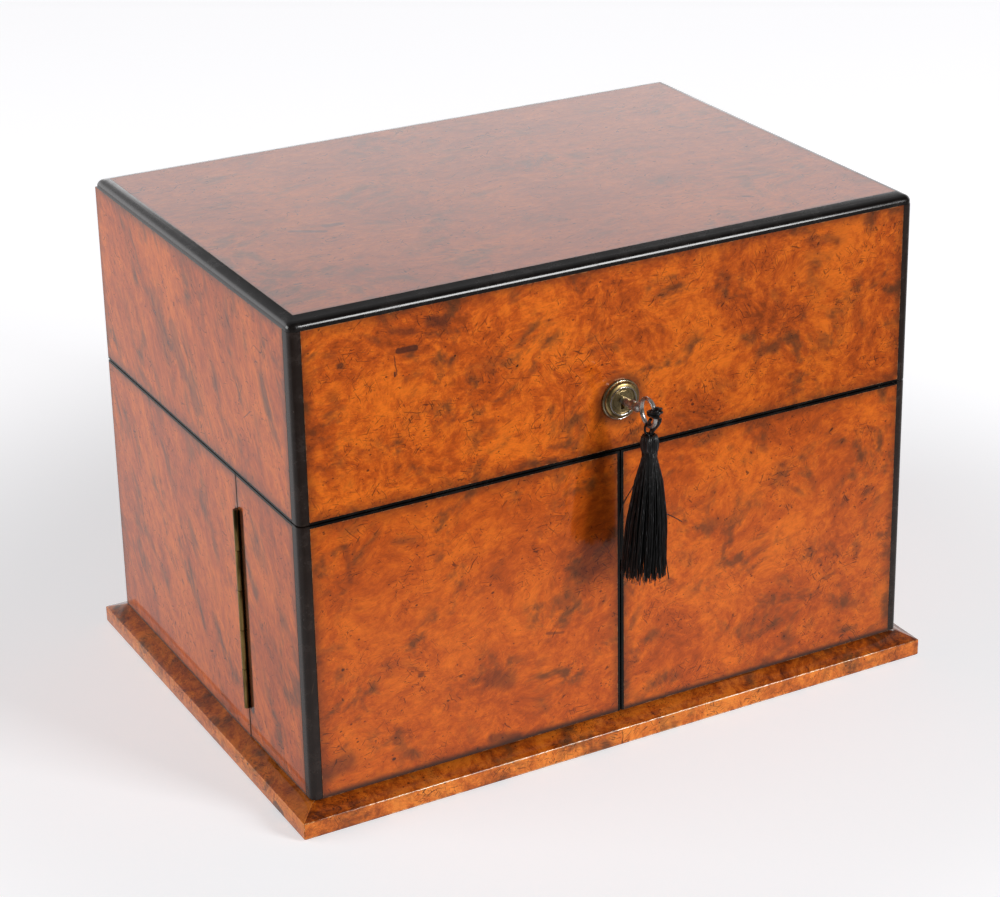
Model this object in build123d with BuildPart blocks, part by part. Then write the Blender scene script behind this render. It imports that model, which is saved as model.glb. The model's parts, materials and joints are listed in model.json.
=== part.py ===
from build123d import *
import math
import os

os.makedirs("parts", exist_ok=True)

# Driving dimensions, in millimetres.
# x = 0 and y = 0 are the middle of the veneered body, its front faces -Y, and z = 0 is the floor.
body_w = 340.0  # over the veneered sides
body_d = 238.5  # over the veneered front and back
overall_h = 258.5
lid_line_z = 158.0  # middle of the gap between lid and carcass
lid_gap = 0.7
board = 11.0  # thickness of every veneered board
wood_gap = 0.7  # between a door and what it shuts against

# Plinth and base
baize_t = 0.8
baize_inset = 3.0
plinth_top_z = 14.3
plinth_edge_z = 9.9
plinth_out = 8.6  # front and sides
plinth_out_rear = 11.0
plinth_tuck = 12.0  # how far the rails run in under the body
plinth_arris = 0.7

# Ebonised trim
top_mould_front = 7.1  # on the top face, along front and back
top_mould_side = 5.6
top_mould_drop = 5.4
top_mould_r = 3.9
post_front = 5.7  # vertical corner mouldings, seen on the front
post_side = 7.2
post_r = 3.4
lipping_t = 1.2
stile_lip = 1.4
lining_t = 1.5
lining_gap = 0.5

# Doors and their hinges
door_wrap = 71.65  # how far each door reaches round the side, from the front face
hinge_proud = 1.0  # from the side face out to the pin's axis
door_hinge_z0 = 31.4
door_hinge_len = 107.6
door_knuckles = 5
knuckle_r = 2.4
knuckle_gap = 0.3
pin_r = 0.9
pin_play = 0.05
leaf_t = 1.2
leaf_w = 8.0
barrel_play = 0.3  # between a knuckle and the wood or leaf beside it

# Lid hinges
lid_hinge_x = 100.0
lid_hinge_len = 56.0
lid_knuckles = 3
lid_hinge_proud = 2.0
lid_leaf_w = 9.0

# Lock, in the front board of the lid
lock_z = 184.7
lock_inset = 5.5  # from the front face back to the middle of the mechanism
lock_case_w = 48.0
lock_case_top = 14.0  # above the barrel's axis
lock_case_d = 7.6
lock_wall = 1.4
lock_mortise_gap = 0.1
wheel_t = 2.4
gear_module = 0.9
barrel_teeth = 18
hook_teeth = 22
hook_cut_teeth = 7  # teeth really cut on the hook, on the side away from its blade
hook_spare_teeth = 1  # of them, past the one that meshes at rest
pressure_angle = 20.0
gear_backlash = 0.34
gear_addendum = 0.85  # in modules
gear_dedendum = 1.2
barrel_r = 5.0
barrel_nose = 2.4  # stands out of the front board
barrel_tail_r = 3.0
turn_play = 0.06
hook_stud_r = 2.5
hook_hub_r = 4.6
hook_in_r = 11.6
hook_out_r = 14.4
hook_tip = 212.4  # rest angle of the hook's tip, counter-clockwise from +X
hook_back = 135.0
hook_web = 168.0
hook_web_lap = 1.0  # how far the web runs into the blade
hook_play = 0.7
strike_w = 15.0
strike_d = 7.0
strike_t = 1.2
rosette_r = 10.5
rosette_t = 1.1
rosette_rim_r = 7.5
rosette_rim_h = 3.4
rosette_bead = 1.6
rosette_cove = 1.2

# Key and its tassel
key_r = 1.7
key_play = 0.1
bit_w = 1.2
bit_len = 5.0
bit_drop = 4.2
bit_play = 0.3
key_end = 9.0  # depth of the shank inside the face of the barrel
collar_r = 2.9
collar_t = 1.6
collar_out = 5.2  # from the front of the body to the collar
bow_out = 24.15  # from the front of the body to the middle of the bow
bow_h = 17.0
bow_d = 14.7
bow_wire = 2.2
loop_play = 0.5
loop_cord = 1.5
head_gap = 0.3  # under the cord loop
crown_r = 1.2
shoulder_r = 3.35
shoulder_drop = 1.15
cheek_drop = 4.6
head_r = 4.3
neck_z = 161.6
neck_r = 3.3
skirt_bottom_z = 103.0
skirt_r = 10.2
skirt_swell_r = 7.45
skirt_swell_drop = 20.5  # below the neck
tassel_facets = 16
ring_facets = 24  # round the rosette, the bow and the cord loop

# Fittings inside
rack_end = 13.5  # wood outside the outer wells
decanter_arris = 9.0
stopper_room = 16.75  # between the stoppers and the lining of the lid
decanter_shoulder_h = 34.0
decanter_neck_h = 20.0
decanter_neck_r = 16.0
decanter_lip_r = 21.0
decanter_lip_t = 6.0
decanter_wall = 7.0
decanter_base_t = 12.0
decanter_mouth_r = 9.0
well_play = 1.5
well_part = 6.0
rack_wall = 5.0
rack_floor = 3.0
rack_h = 58.0
stand_gap = 0.3
stopper_r = 19.0
stopper_facets = 8
stopper_h = 25.65
stopper_profile = [(0, 0.62), (0.30, 0.92), (0.62, 1.0), (1.0, 0.55)]  # shares of height and radius
stopper_stem_r = 8.2
stopper_stem_h = 16.0
stopper_seat = 0.3
tray_wall = 4.0
tray_h = 36.0
tray_gap = 0.8
glass_r = 21.0
glass_foot_r = 15.0
glass_h = 62.0
glass_wall = 2.0
glass_base_t = 8.0
glass_facets = 12
glass_pitch = 48.0
glasses_per_door = 3
glass_play = 0.6
shelf_z = 32.0
shelf_t = 5.0
shelf_recess = 2.0
rail_z = 66.0
rail_t = 4.0
rack_depth = 52.0
rack_cheek = 4.0
rack_clear = 2.8  # from the rack's cheeks to the stile and to the hinge side

# Derived places
lock_x = 0.0
half_w = body_w / 2
half_d = body_d / 2
front_y = -half_d
rear_y = half_d
inner_x = half_w - board
inner_front_y = front_y + board
inner_rear_y = rear_y - board
carcass_top_z = lid_line_z - lid_gap / 2
lid_bottom_z = lid_line_z + lid_gap / 2
board_top_z = carcass_top_z - lipping_t
lid_wall_z = lid_bottom_z + lipping_t
door_bottom_z = plinth_top_z + wood_gap
lid_wall_top_z = overall_h - top_mould_drop
lid_under_z = overall_h - board
stile_x = wood_gap / 2
door_hinge_y = front_y + door_wrap
door_edge_y = door_hinge_y - wood_gap / 2
case_edge_y = door_hinge_y + wood_gap / 2
door_axis_x = half_w + hinge_proud
lid_axis_y = rear_y + lid_hinge_proud
lock_y = front_y + lock_inset
bow_y = front_y - bow_out
ring_flat = math.cos(math.pi / ring_facets)  # half width over the corners to that over the flats


def write(piece, name):
    """Label a finished piece and write it as its own STEP file."""
    piece.part.label = name
    export_step(piece.part, f"parts/{name}.step")
    return piece


def plan_board(points, z0, z1):
    """A board with the plan outline given, from z0 up to z1."""
    with BuildPart() as made:
        with BuildSketch(Plane.XY.offset(z0)):
            with BuildLine():
                Polyline(*points, close=True)
            make_face()
        extrude(amount=z1 - z0)
    return made


def block(x0, x1, y0, y1, z0, z1, mode=Mode.ADD):
    """A block between two corners, added to the part in hand or cut from it."""
    with Locations(((x0 + x1) / 2, (y0 + y1) / 2, (z0 + z1) / 2)):
        Box(abs(x1 - x0), abs(y1 - y0), abs(z1 - z0), mode=mode)


def cut(tool):
    """Take a finished shape away from the part in hand."""
    add(tool.part, mode=Mode.SUBTRACT)


def faceted(x, y, facets, levels):
    """A solid of flat facets round the vertical through (x, y).

    Each facing pair of facets is one profile that runs right through, and the solid is what all
    the profiles share. levels are (z, half width) from the bottom up, or, where every other pair
    stands nearer or further, (z, half width, half width of the other pairs).
    """
    through = 2 * max(max(level[1:]) for level in levels)
    with BuildPart() as made:
        for k in range(facets // 2):
            turn = math.radians(360 * k / facets)
            facing = Plane(
                origin=(x, y, 0), x_dir=(math.cos(turn), math.sin(turn), 0),
                z_dir=(math.sin(turn), -math.cos(turn), 0),
            )
            right = [(level[1 + k % (len(level) - 1)], level[0]) for level in levels]
            left = [(-r, z) for r, z in reversed(right)]
            with BuildSketch(facing):
                with BuildLine():
                    Polyline(*right, *left, close=True)
                make_face()
            extrude(amount=through, both=True, mode=Mode.INTERSECT if k else Mode.ADD)
    return made


def oval(x, y, width, height):
    """The corners of an oval of flat sides round (x, y), width and height from its middle."""
    turns = [2 * math.pi * k / ring_facets for k in range(ring_facets)]
    return [(x + width * math.cos(t), y + height * math.sin(t)) for t in turns]


# Plinth: four mitred rails with a bevelled top, round a plain base board
plinth_x = half_w + plinth_out
plinth_front_y = front_y - plinth_out
plinth_rear_y = rear_y + plinth_out_rear
tuck_x = half_w - plinth_tuck
tuck_front_y = front_y + plinth_tuck
tuck_rear_y = rear_y - plinth_tuck * plinth_out_rear / plinth_out


def plinth_rail(face_plane, out, tuck, length, mitre):
    """One rail: its section is drawn square to its length, then mitred in plan."""
    with BuildPart() as made:
        with BuildSketch(face_plane):
            with BuildLine():
                Polyline(
                    (-tuck, baize_t),
                    (out - plinth_arris, baize_t),
                    (out, baize_t + plinth_arris),
                    (out, plinth_edge_z),
                    (0, plinth_top_z),
                    (-tuck, plinth_top_z),
                    close=True,
                )
            make_face()
        extrude(amount=length, both=True)
        with BuildSketch(Plane.XY):
            with BuildLine():
                Polyline(*mitre, close=True)
            make_face()
        extrude(amount=plinth_top_z, mode=Mode.INTERSECT)
    return made


outer_corners = {
    "front_left": (-plinth_x, plinth_front_y),
    "front_right": (plinth_x, plinth_front_y),
    "rear_right": (plinth_x, plinth_rear_y),
    "rear_left": (-plinth_x, plinth_rear_y),
}
inner_corners = {
    "front_left": (-tuck_x, tuck_front_y),
    "front_right": (tuck_x, tuck_front_y),
    "rear_right": (tuck_x, tuck_rear_y),
    "rear_left": (-tuck_x, tuck_rear_y),
}


def mitre_of(a, b):
    return [outer_corners[a], outer_corners[b], inner_corners[b], inner_corners[a]]


front_plane = Plane(origin=(0, front_y, 0), x_dir=(0, -1, 0), z_dir=(-1, 0, 0))
rear_plane = Plane(origin=(0, rear_y, 0), x_dir=(0, 1, 0), z_dir=(1, 0, 0))
left_plane = Plane(origin=(-half_w, 0, 0), x_dir=(-1, 0, 0), z_dir=(0, 1, 0))
right_plane = Plane(origin=(half_w, 0, 0), x_dir=(1, 0, 0), z_dir=(0, -1, 0))
rear_tuck = plinth_tuck * plinth_out_rear / plinth_out
plinth_front = write(
    plinth_rail(front_plane, plinth_out, plinth_tuck, body_w, mitre_of("front_left", "front_right")),
    "plinth_front",
)
plinth_rear = write(
    plinth_rail(rear_plane, plinth_out_rear, rear_tuck, body_w, mitre_of("rear_left", "rear_right")),
    "plinth_rear",
)
plinth_left = write(
    plinth_rail(left_plane, plinth_out, plinth_tuck, body_d, mitre_of("front_left", "rear_left")),
    "plinth_left",
)
plinth_right = write(
    plinth_rail(right_plane, plinth_out, plinth_tuck, body_d, mitre_of("front_right", "rear_right")),
    "plinth_right",
)

with BuildPart() as base_board:
    block(-tuck_x, tuck_x, tuck_front_y, tuck_rear_y, baize_t, plinth_top_z)
write(base_board, "base_board")

baize_x = plinth_x - baize_inset
with BuildPart() as baize_base:
    block(-baize_x, baize_x, plinth_front_y + baize_inset, plinth_rear_y - baize_inset, 0, baize_t)
write(baize_base, "baize_base")


# Hinges: a leaf let into each meeting edge, with knuckles that interleave on one pin
def hinge_leaf(axis_plane, length, knuckles, first, toward, width, face, bore_r):
    """One leaf in the frame of axis_plane, whose Z is the pin's axis.

    Local +X runs out of the wood, so the leaf lies at negative X, and it fills the side of the
    joint that `toward` gives (+1 or -1 in local Y), a distance `face` from the pin's axis.
    """
    pitch = length / knuckles
    with BuildPart() as made:
        with BuildSketch(axis_plane):
            with Locations((-knuckle_r - barrel_play - width / 2, toward * (face + leaf_t / 2))):
                Rectangle(width, leaf_t)
        extrude(amount=length)
        for k in range(first, knuckles, 2):
            z0 = k * pitch + knuckle_gap / 2
            run = pitch - knuckle_gap
            with BuildSketch(axis_plane.offset(z0)):
                Circle(knuckle_r)
                with Locations((-(knuckle_r + barrel_play) / 2, toward * (face + leaf_t / 2))):
                    Rectangle(knuckle_r + barrel_play, leaf_t)
                Circle(bore_r, mode=Mode.SUBTRACT)
            extrude(amount=run)
    return made


def hinge_pin(axis_plane, length):
    with BuildPart() as made:
        with BuildSketch(axis_plane):
            Circle(pin_r)
        extrude(amount=length)
    return made


def leaf_seat(axis_plane, length, toward, width, face):
    """The housing that a leaf and the knuckles need in the wood."""
    with BuildPart() as made:
        with BuildSketch(axis_plane):
            Circle(knuckle_r + barrel_play)
            with Locations((-(knuckle_r + barrel_play + width) / 2, toward * (face + leaf_t) / 2)):
                Rectangle(knuckle_r + barrel_play + width, face + leaf_t)
        extrude(amount=length)
    return made


def door_axis(side):
    """The pin's axis of one door: Z up, local +X out of the side face, +Y towards the front or rear."""
    return Plane(
        origin=(side * door_axis_x, door_hinge_y, door_hinge_z0), x_dir=(side, 0, 0), z_dir=(0, 0, 1)
    )


def lid_axis(x):
    """The pin's axis of one lid hinge, along X, with local +X out of the rear face."""
    return Plane(origin=(x - lid_hinge_len / 2, lid_axis_y, lid_line_z), x_dir=(0, 1, 0), z_dir=(1, 0, 0))


door_face = wood_gap / 2
lid_face = lid_gap / 2
sides = {"left": -1, "right": 1}
lid_hinge_places = [-lid_hinge_x, lid_hinge_x]

# Carcass: back and two short sides; the doors are the front and the rest of the sides
back_plan = [
    (-half_w, rear_y),
    (half_w, rear_y),
    (inner_x, inner_rear_y),
    (-inner_x, inner_rear_y),
]
with BuildPart() as case_back:
    add(plan_board(back_plan, plinth_top_z, board_top_z).part)
    for place in lid_hinge_places:
        cut(leaf_seat(lid_axis(place), lid_hinge_len, -1, lid_leaf_w, lid_face))
write(case_back, "case_back")

for name, side in sides.items():
    side_plan = [
        (side * half_w, rear_y),
        (side * half_w, case_edge_y),
        (side * inner_x, case_edge_y),
        (side * inner_x, inner_rear_y),
    ]
    with BuildPart() as case_side:
        add(plan_board(side_plan, plinth_top_z, board_top_z).part)
        cut(leaf_seat(door_axis(side), door_hinge_len, side, leaf_w, door_face))
    write(case_side, f"case_{name}")

rim_plan = [
    (-half_w, case_edge_y),
    (-half_w, rear_y),
    (half_w, rear_y),
    (half_w, case_edge_y),
    (inner_x, case_edge_y),
    (inner_x, inner_rear_y),
    (-inner_x, inner_rear_y),
    (-inner_x, case_edge_y),
]
with BuildPart() as case_lipping:
    add(plan_board(rim_plan, board_top_z, carcass_top_z).part)
    for place in lid_hinge_places:
        cut(leaf_seat(lid_axis(place), lid_hinge_len, -1, lid_leaf_w, lid_face))
write(case_lipping, "case_lipping")

for name, side in sides.items():
    with BuildPart() as case_leaf:
        add(
            hinge_leaf(
                door_axis(side), door_hinge_len, door_knuckles, 0, side, leaf_w, door_face, pin_r
            ).part
        )
    write(case_leaf, f"door_hinge_{name}_case_leaf")
    write(hinge_pin(door_axis(side), door_hinge_len), f"door_hinge_{name}_pin")

with BuildPart() as lid_hinge_case_leaves:
    for place in lid_hinge_places:
        add(
            hinge_leaf(
                lid_axis(place), lid_hinge_len, lid_knuckles, 0, -1, lid_leaf_w, lid_face, pin_r
            ).part
        )
write(lid_hinge_case_leaves, "lid_hinge_case_leaves")

with BuildPart() as lid_hinge_pins:
    for place in lid_hinge_places:
        add(hinge_pin(lid_axis(place), lid_hinge_len).part)
write(lid_hinge_pins, "lid_hinge_pins")

with BuildPart() as lid_hinge_lid_leaves:
    for place in lid_hinge_places:
        add(
            hinge_leaf(
                lid_axis(place), lid_hinge_len, lid_knuckles, 1, 1, lid_leaf_w, lid_face,
                pin_r + pin_play,
            ).part
        )
write(lid_hinge_lid_leaves, "lid_hinge_lid_leaves")

# Doors: front panel and side panel mitred behind an ebonised corner post
post_x = half_w - post_front  # inner edge of the post, on the front
post_y = front_y + post_side  # inner edge of the post, on the side
door_top_z = board_top_z
door_lip_z = carcass_top_z
stile_wood_x = stile_x + stile_lip
strike_z = door_lip_z - strike_t
pocket_y0 = lock_y - wheel_t / 2 - hook_play
pocket_y1 = lock_y + wheel_t / 2 + hook_play
hook_axis_z = lock_z - gear_module * (barrel_teeth + hook_teeth) / 2
pocket_x = hook_out_r + hook_play
pocket_z = hook_axis_z - hook_out_r - hook_play


def corner_post(side, z0, z1):
    """A vertical moulding whose outer arris is rounded."""
    with BuildPart() as made:
        block(side * post_x, side * half_w, front_y, post_y, z0, z1)
        outer = made.edges().filter_by(Axis.Z).sort_by(lambda e: side * e.center().X - e.center().Y)[-1]
        fillet(outer, post_r)
    return made


def hook_pocket(x0, x1):
    """The room that the hook sweeps in the top edges of the doors."""
    with BuildPart() as made:
        block(x0, x1, pocket_y0, pocket_y1, pocket_z, strike_z)
    return made


def strike_seat(side):
    with BuildPart() as made:
        block(0, side * strike_w, lock_y - strike_d / 2, lock_y + strike_d / 2, strike_z, door_lip_z)
    return made


for name, side in sides.items():
    front_plan = [
        (side * stile_wood_x, front_y),
        (side * post_x, front_y),
        (side * post_x, post_y),
        (side * inner_x, inner_front_y),
        (side * stile_wood_x, inner_front_y),
    ]
    with BuildPart() as door_front:
        add(plan_board(front_plan, door_bottom_z, door_top_z).part)
        cut(hook_pocket(0, side * pocket_x))
    write(door_front, f"door_{name}_front")

    side_plan = [
        (side * half_w, post_y),
        (side * half_w, door_edge_y),
        (side * inner_x, door_edge_y),
        (side * inner_x, inner_front_y),
        (side * post_x, post_y),
    ]
    with BuildPart() as door_side:
        add(plan_board(side_plan, door_bottom_z, door_top_z).part)
        cut(leaf_seat(door_axis(side), door_hinge_len, -side, leaf_w, door_face))
    write(door_side, f"door_{name}_side")
    write(corner_post(side, door_bottom_z, door_lip_z), f"door_{name}_corner_post")

    top_plan = [
        (side * stile_x, front_y),
        (side * post_x, front_y),
        (side * post_x, post_y),
        (side * half_w, post_y),
        (side * half_w, door_edge_y),
        (side * inner_x, door_edge_y),
        (side * inner_x, inner_front_y),
        (side * stile_x, inner_front_y),
    ]
    with BuildPart() as door_lipping:
        add(plan_board(top_plan, door_top_z, door_lip_z).part)
        block(side * stile_x, side * stile_wood_x, front_y, inner_front_y, door_bottom_z, door_top_z)
        cut(hook_pocket(0, side * pocket_x))
        cut(strike_seat(side))
    write(door_lipping, f"door_{name}_lipping")

    with BuildPart() as door_leaf:
        add(
            hinge_leaf(
                door_axis(side), door_hinge_len, door_knuckles, 1, -side, leaf_w, door_face,
                pin_r + pin_play,
            ).part
        )
    write(door_leaf, f"door_hinge_{name}_door_leaf")

    # Strike plate: the left one is slotted for the hook, whose tip ends under the right one
    with BuildPart() as strike:
        block(
            side * stile_x, side * strike_w,
            lock_y - strike_d / 2, lock_y + strike_d / 2, strike_z, door_lip_z,
        )
        if side < 0:
            drop = hook_axis_z - strike_z
            slot_x0 = math.sqrt(hook_in_r**2 - drop**2) - hook_play
            slot_x1 = math.sqrt(hook_out_r**2 - (drop - strike_t) ** 2) + hook_play
            block(-slot_x1, -slot_x0, pocket_y0, pocket_y1, strike_z, door_lip_z, Mode.SUBTRACT)
    write(strike, f"door_{name}_strike")

    # Glass rack on the back of each door: a recessed shelf, a pierced rail and two cheeks
    rack_x0 = stile_wood_x + rack_clear
    rack_x1 = inner_x - rack_clear
    rack_mid = (rack_x0 + rack_x1) / 2
    glass_y = inner_front_y + rack_depth / 2
    glass_xs = [
        side * (rack_mid + (k - (glasses_per_door - 1) / 2) * glass_pitch)
        for k in range(glasses_per_door)
    ]
    with BuildPart() as glass_rack:
        rack_y0 = inner_front_y
        rack_y1 = inner_front_y + rack_depth
        block(side * rack_x0, side * rack_x1, rack_y0, rack_y1, shelf_z, shelf_z + shelf_t)
        block(side * rack_x0, side * rack_x1, rack_y0, rack_y1, rail_z, rail_z + rail_t)
        for cheek in (rack_x0, rack_x1 - rack_cheek):
            block(
                side * cheek, side * (cheek + rack_cheek), rack_y0, rack_y1,
                shelf_z, rail_z + rail_t,
            )
        for x in glass_xs:
            with BuildSketch(Plane(origin=(x, glass_y, shelf_z + shelf_t))):
                RegularPolygon(glass_foot_r + glass_play, glass_facets, rotation=180 / glass_facets)
            extrude(amount=-shelf_recess, mode=Mode.SUBTRACT)
            with BuildSketch(Plane(origin=(x, glass_y, rail_z))):
                RegularPolygon(glass_r + glass_play, glass_facets, rotation=180 / glass_facets)
            extrude(amount=rail_t, mode=Mode.SUBTRACT)
    write(glass_rack, f"door_{name}_glass_rack")

    # Tumblers: faceted, tapered, thick in the base, hollow
    foot_z = shelf_z + shelf_t - shelf_recess
    glass_flat = math.cos(math.pi / glass_facets)  # half width over the corners to that over the flats
    bowl_r = glass_foot_r + (glass_r - glass_foot_r) * glass_base_t / glass_h - glass_wall
    with BuildPart() as glasses:
        for x in glass_xs:
            add(
                faceted(
                    x, glass_y, glass_facets,
                    [(foot_z, glass_foot_r * glass_flat), (foot_z + glass_h, glass_r * glass_flat)],
                ).part
            )
            cut(
                faceted(
                    x, glass_y, glass_facets,
                    [
                        (foot_z + glass_base_t, bowl_r * glass_flat),
                        (foot_z + glass_h, (glass_r - glass_wall) * glass_flat),
                    ],
                )
            )
    write(glasses, f"door_{name}_glasses")

# Lid: mitred walls on an ebonised rim, a rebated top board and a moulding round it
lid_back_plan = [
    (-half_w, rear_y),
    (half_w, rear_y),
    (inner_x, inner_rear_y),
    (-inner_x, inner_rear_y),
]
case_x0 = lock_x - lock_case_w / 2
case_x1 = lock_x + lock_case_w / 2
case_y0 = lock_y - lock_case_d / 2
case_y1 = lock_y + lock_case_d / 2
case_z1 = lock_z + lock_case_top
lid_front_plan = [
    (-post_x, front_y),
    (post_x, front_y),
    (post_x, post_y),
    (inner_x, inner_front_y),
    (-inner_x, inner_front_y),
    (-post_x, post_y),
]
barrel_frame = Plane(origin=(lock_x, front_y, lock_z), x_dir=(1, 0, 0), z_dir=(0, -1, 0))
with BuildPart() as lid_front:
    add(plan_board(lid_front_plan, lid_wall_z, lid_wall_top_z).part)
    block(
        case_x0 - lock_mortise_gap, case_x1 + lock_mortise_gap,
        case_y0 - lock_mortise_gap, case_y1 + lock_mortise_gap,
        lid_wall_z, case_z1 + lock_mortise_gap, Mode.SUBTRACT,
    )
    with BuildSketch(barrel_frame):
        Circle(barrel_r + hook_play)
    extrude(amount=front_y - case_y0, mode=Mode.SUBTRACT)
write(lid_front, "lid_front")

with BuildPart() as lid_back:
    add(plan_board(lid_back_plan, lid_wall_z, lid_wall_top_z).part)
    for place in lid_hinge_places:
        cut(leaf_seat(lid_axis(place), lid_hinge_len, 1, lid_leaf_w, lid_face))
write(lid_back, "lid_back")

for name, side in sides.items():
    lid_side_plan = [
        (side * half_w, post_y),
        (side * half_w, rear_y),
        (side * inner_x, inner_rear_y),
        (side * inner_x, inner_front_y),
        (side * post_x, post_y),
    ]
    write(plan_board(lid_side_plan, lid_wall_z, lid_wall_top_z), f"lid_{name}")
    write(corner_post(side, lid_bottom_z, lid_wall_top_z), f"lid_{name}_corner_post")

panel_x = half_w - top_mould_side
panel_y = half_d - top_mould_front
with BuildPart() as lid_top:
    block(-panel_x, panel_x, -panel_y, panel_y, lid_wall_top_z, overall_h)
    block(-inner_x, inner_x, inner_front_y, inner_rear_y, lid_under_z, lid_wall_top_z)
write(lid_top, "lid_top")

with BuildPart() as lid_top_moulding:
    block(-half_w, half_w, front_y, rear_y, lid_wall_top_z, overall_h)
    fillet(lid_top_moulding.edges().filter_by(Axis.Z), post_r)
    top_rim = lid_top_moulding.faces().sort_by(Axis.Z)[-1].edges()
    fillet(top_rim, top_mould_r)
    block(-panel_x, panel_x, -panel_y, panel_y, lid_wall_top_z, overall_h, Mode.SUBTRACT)
write(lid_top_moulding, "lid_top_moulding")

with BuildPart() as lid_lipping:
    block(-half_w, half_w, front_y, rear_y, lid_bottom_z, lid_wall_z)
    block(-inner_x, inner_x, inner_front_y, inner_rear_y, lid_bottom_z, lid_wall_z, Mode.SUBTRACT)
    for side in sides.values():
        block(side * post_x, side * half_w, front_y, post_y, lid_bottom_z, lid_wall_z, Mode.SUBTRACT)
    block(
        case_x0 - lock_mortise_gap, case_x1 + lock_mortise_gap,
        case_y0 - lock_mortise_gap, case_y1 + lock_mortise_gap,
        lid_bottom_z, lid_wall_z, Mode.SUBTRACT,
    )
    for place in lid_hinge_places:
        cut(leaf_seat(lid_axis(place), lid_hinge_len, 1, lid_leaf_w, lid_face))
write(lid_lipping, "lid_lipping")

with BuildPart() as lid_lining:
    block(
        -inner_x + lining_gap, inner_x - lining_gap,
        inner_front_y + lining_gap, inner_rear_y - lining_gap,
        lid_under_z - lining_t, lid_under_z,
    )
write(lid_lining, "lid_lining")

# Lock: brass case, rosette, barrel with its pinion, and a toothed hook
cavity_y0 = case_y0 + lock_wall
cavity_y1 = case_y1 - lock_wall
plate_z1 = lid_bottom_z + lock_wall
hook_frame = Plane(origin=(lock_x, lock_y + wheel_t / 2, hook_axis_z), x_dir=(1, 0, 0), z_dir=(0, -1, 0))
case_slot_x1 = math.sqrt(hook_out_r**2 - (hook_axis_z - plate_z1) ** 2) + hook_play
with BuildPart() as lock_case:
    block(case_x0, case_x1, case_y0, case_y1, lid_bottom_z, case_z1)
    block(
        case_x0 + lock_wall, case_x1 - lock_wall, cavity_y0, cavity_y1,
        plate_z1, case_z1 - lock_wall, Mode.SUBTRACT,
    )
    block(
        -case_slot_x1, -hook_stud_r / 2, pocket_y0, pocket_y1, lid_bottom_z, plate_z1, Mode.SUBTRACT
    )
    with BuildSketch(Plane.XZ.offset(-case_y0)):
        with Locations((lock_x, lock_z)):
            Circle(barrel_r + turn_play)
    extrude(amount=-lock_wall, mode=Mode.SUBTRACT)
    with BuildSketch(Plane.XZ.offset(-cavity_y1)):
        with Locations((lock_x, lock_z)):
            Circle(barrel_tail_r + turn_play)
    extrude(amount=-lock_wall, mode=Mode.SUBTRACT)
    with BuildSketch(Plane.XZ.offset(-cavity_y1)):
        with Locations((lock_x, hook_axis_z)):
            Circle(hook_stud_r)
    extrude(amount=cavity_y1 - cavity_y0)
write(lock_case, "lock_case")

rosette_levels = [
    (0, rosette_r * ring_flat),
    (rosette_t, rosette_r * ring_flat),
    (rosette_t, (rosette_rim_r + rosette_cove) * ring_flat),
    (rosette_rim_h, rosette_rim_r * ring_flat),
]
with BuildPart() as lock_rosette:
    turned = faceted(0, 0, ring_facets, rosette_levels).part
    add(turned.moved(Location((lock_x, front_y, lock_z), (90, 0, 0))))
    with BuildSketch(Plane.XZ.offset(-front_y)):
        with Locations((lock_x, lock_z)):
            Circle(barrel_r + turn_play)
    extrude(amount=rosette_rim_h, mode=Mode.SUBTRACT)
    with BuildSketch(Plane.XZ.offset(rosette_t - front_y)):
        bead_r = rosette_rim_r - rosette_bead
        Polygon(*oval(lock_x, lock_z, bead_r, bead_r), align=None)
    extrude(amount=rosette_rim_h - rosette_t, mode=Mode.SUBTRACT)
write(lock_rosette, "lock_rosette")


def gear_outline(teeth, first, count, start):
    """Points round the teeth of a wheel, from angle start in degrees, counter-clockwise."""
    pitch_r = gear_module * teeth / 2
    tip_r = pitch_r + gear_module * gear_addendum
    root_r = pitch_r - gear_module * gear_dedendum
    step = 360 / teeth
    half_pitch = (math.pi * gear_module - gear_backlash) / 4
    slope = math.tan(math.radians(pressure_angle))
    outline = []
    for k in range(first, first + count):
        middle = start + k * step
        for r, turn in ((root_r, -1), (tip_r, -1), (tip_r, 1), (root_r, 1)):
            half_t = half_pitch + (pitch_r - r) * slope
            angle = math.radians(middle + turn * math.degrees(half_t / r))
            outline.append((r * math.cos(angle), r * math.sin(angle)))
    return outline


def ring_point(radius, degrees):
    return (radius * math.cos(math.radians(degrees)), radius * math.sin(math.radians(degrees)))


wheel_y1 = lock_y + wheel_t / 2
nose_y = front_y - barrel_nose
with BuildPart() as lock_barrel:
    with BuildSketch(Plane.XZ.offset(-wheel_y1)):
        with Locations((lock_x, lock_z)):
            with BuildSketch(mode=Mode.PRIVATE) as pinion_face:
                with BuildLine():
                    pinion_turn = -90 + 180 / barrel_teeth
                    Polyline(*gear_outline(barrel_teeth, 0, barrel_teeth, pinion_turn), close=True)
                make_face()
            add(pinion_face.sketch)
    extrude(amount=wheel_t)
    with BuildSketch(Plane.XZ.offset(-wheel_y1)):
        with Locations((lock_x, lock_z)):
            Circle(barrel_r)
    extrude(amount=wheel_y1 - nose_y)
    with BuildSketch(Plane.XZ.offset(-case_y1)):
        with Locations((lock_x, lock_z)):
            Circle(barrel_tail_r)
    extrude(amount=case_y1 - wheel_y1)
    key_depth = nose_y + key_end
    with BuildSketch(Plane.XZ.offset(-key_depth)):
        with Locations((lock_x, lock_z)):
            Circle(key_r + key_play)
        with Locations((lock_x, lock_z - bit_drop / 2 - bit_play / 2)):
            Rectangle(bit_w + 2 * bit_play, bit_drop + bit_play)
    extrude(amount=key_end, mode=Mode.SUBTRACT)
write(lock_barrel, "lock_barrel")

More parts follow.
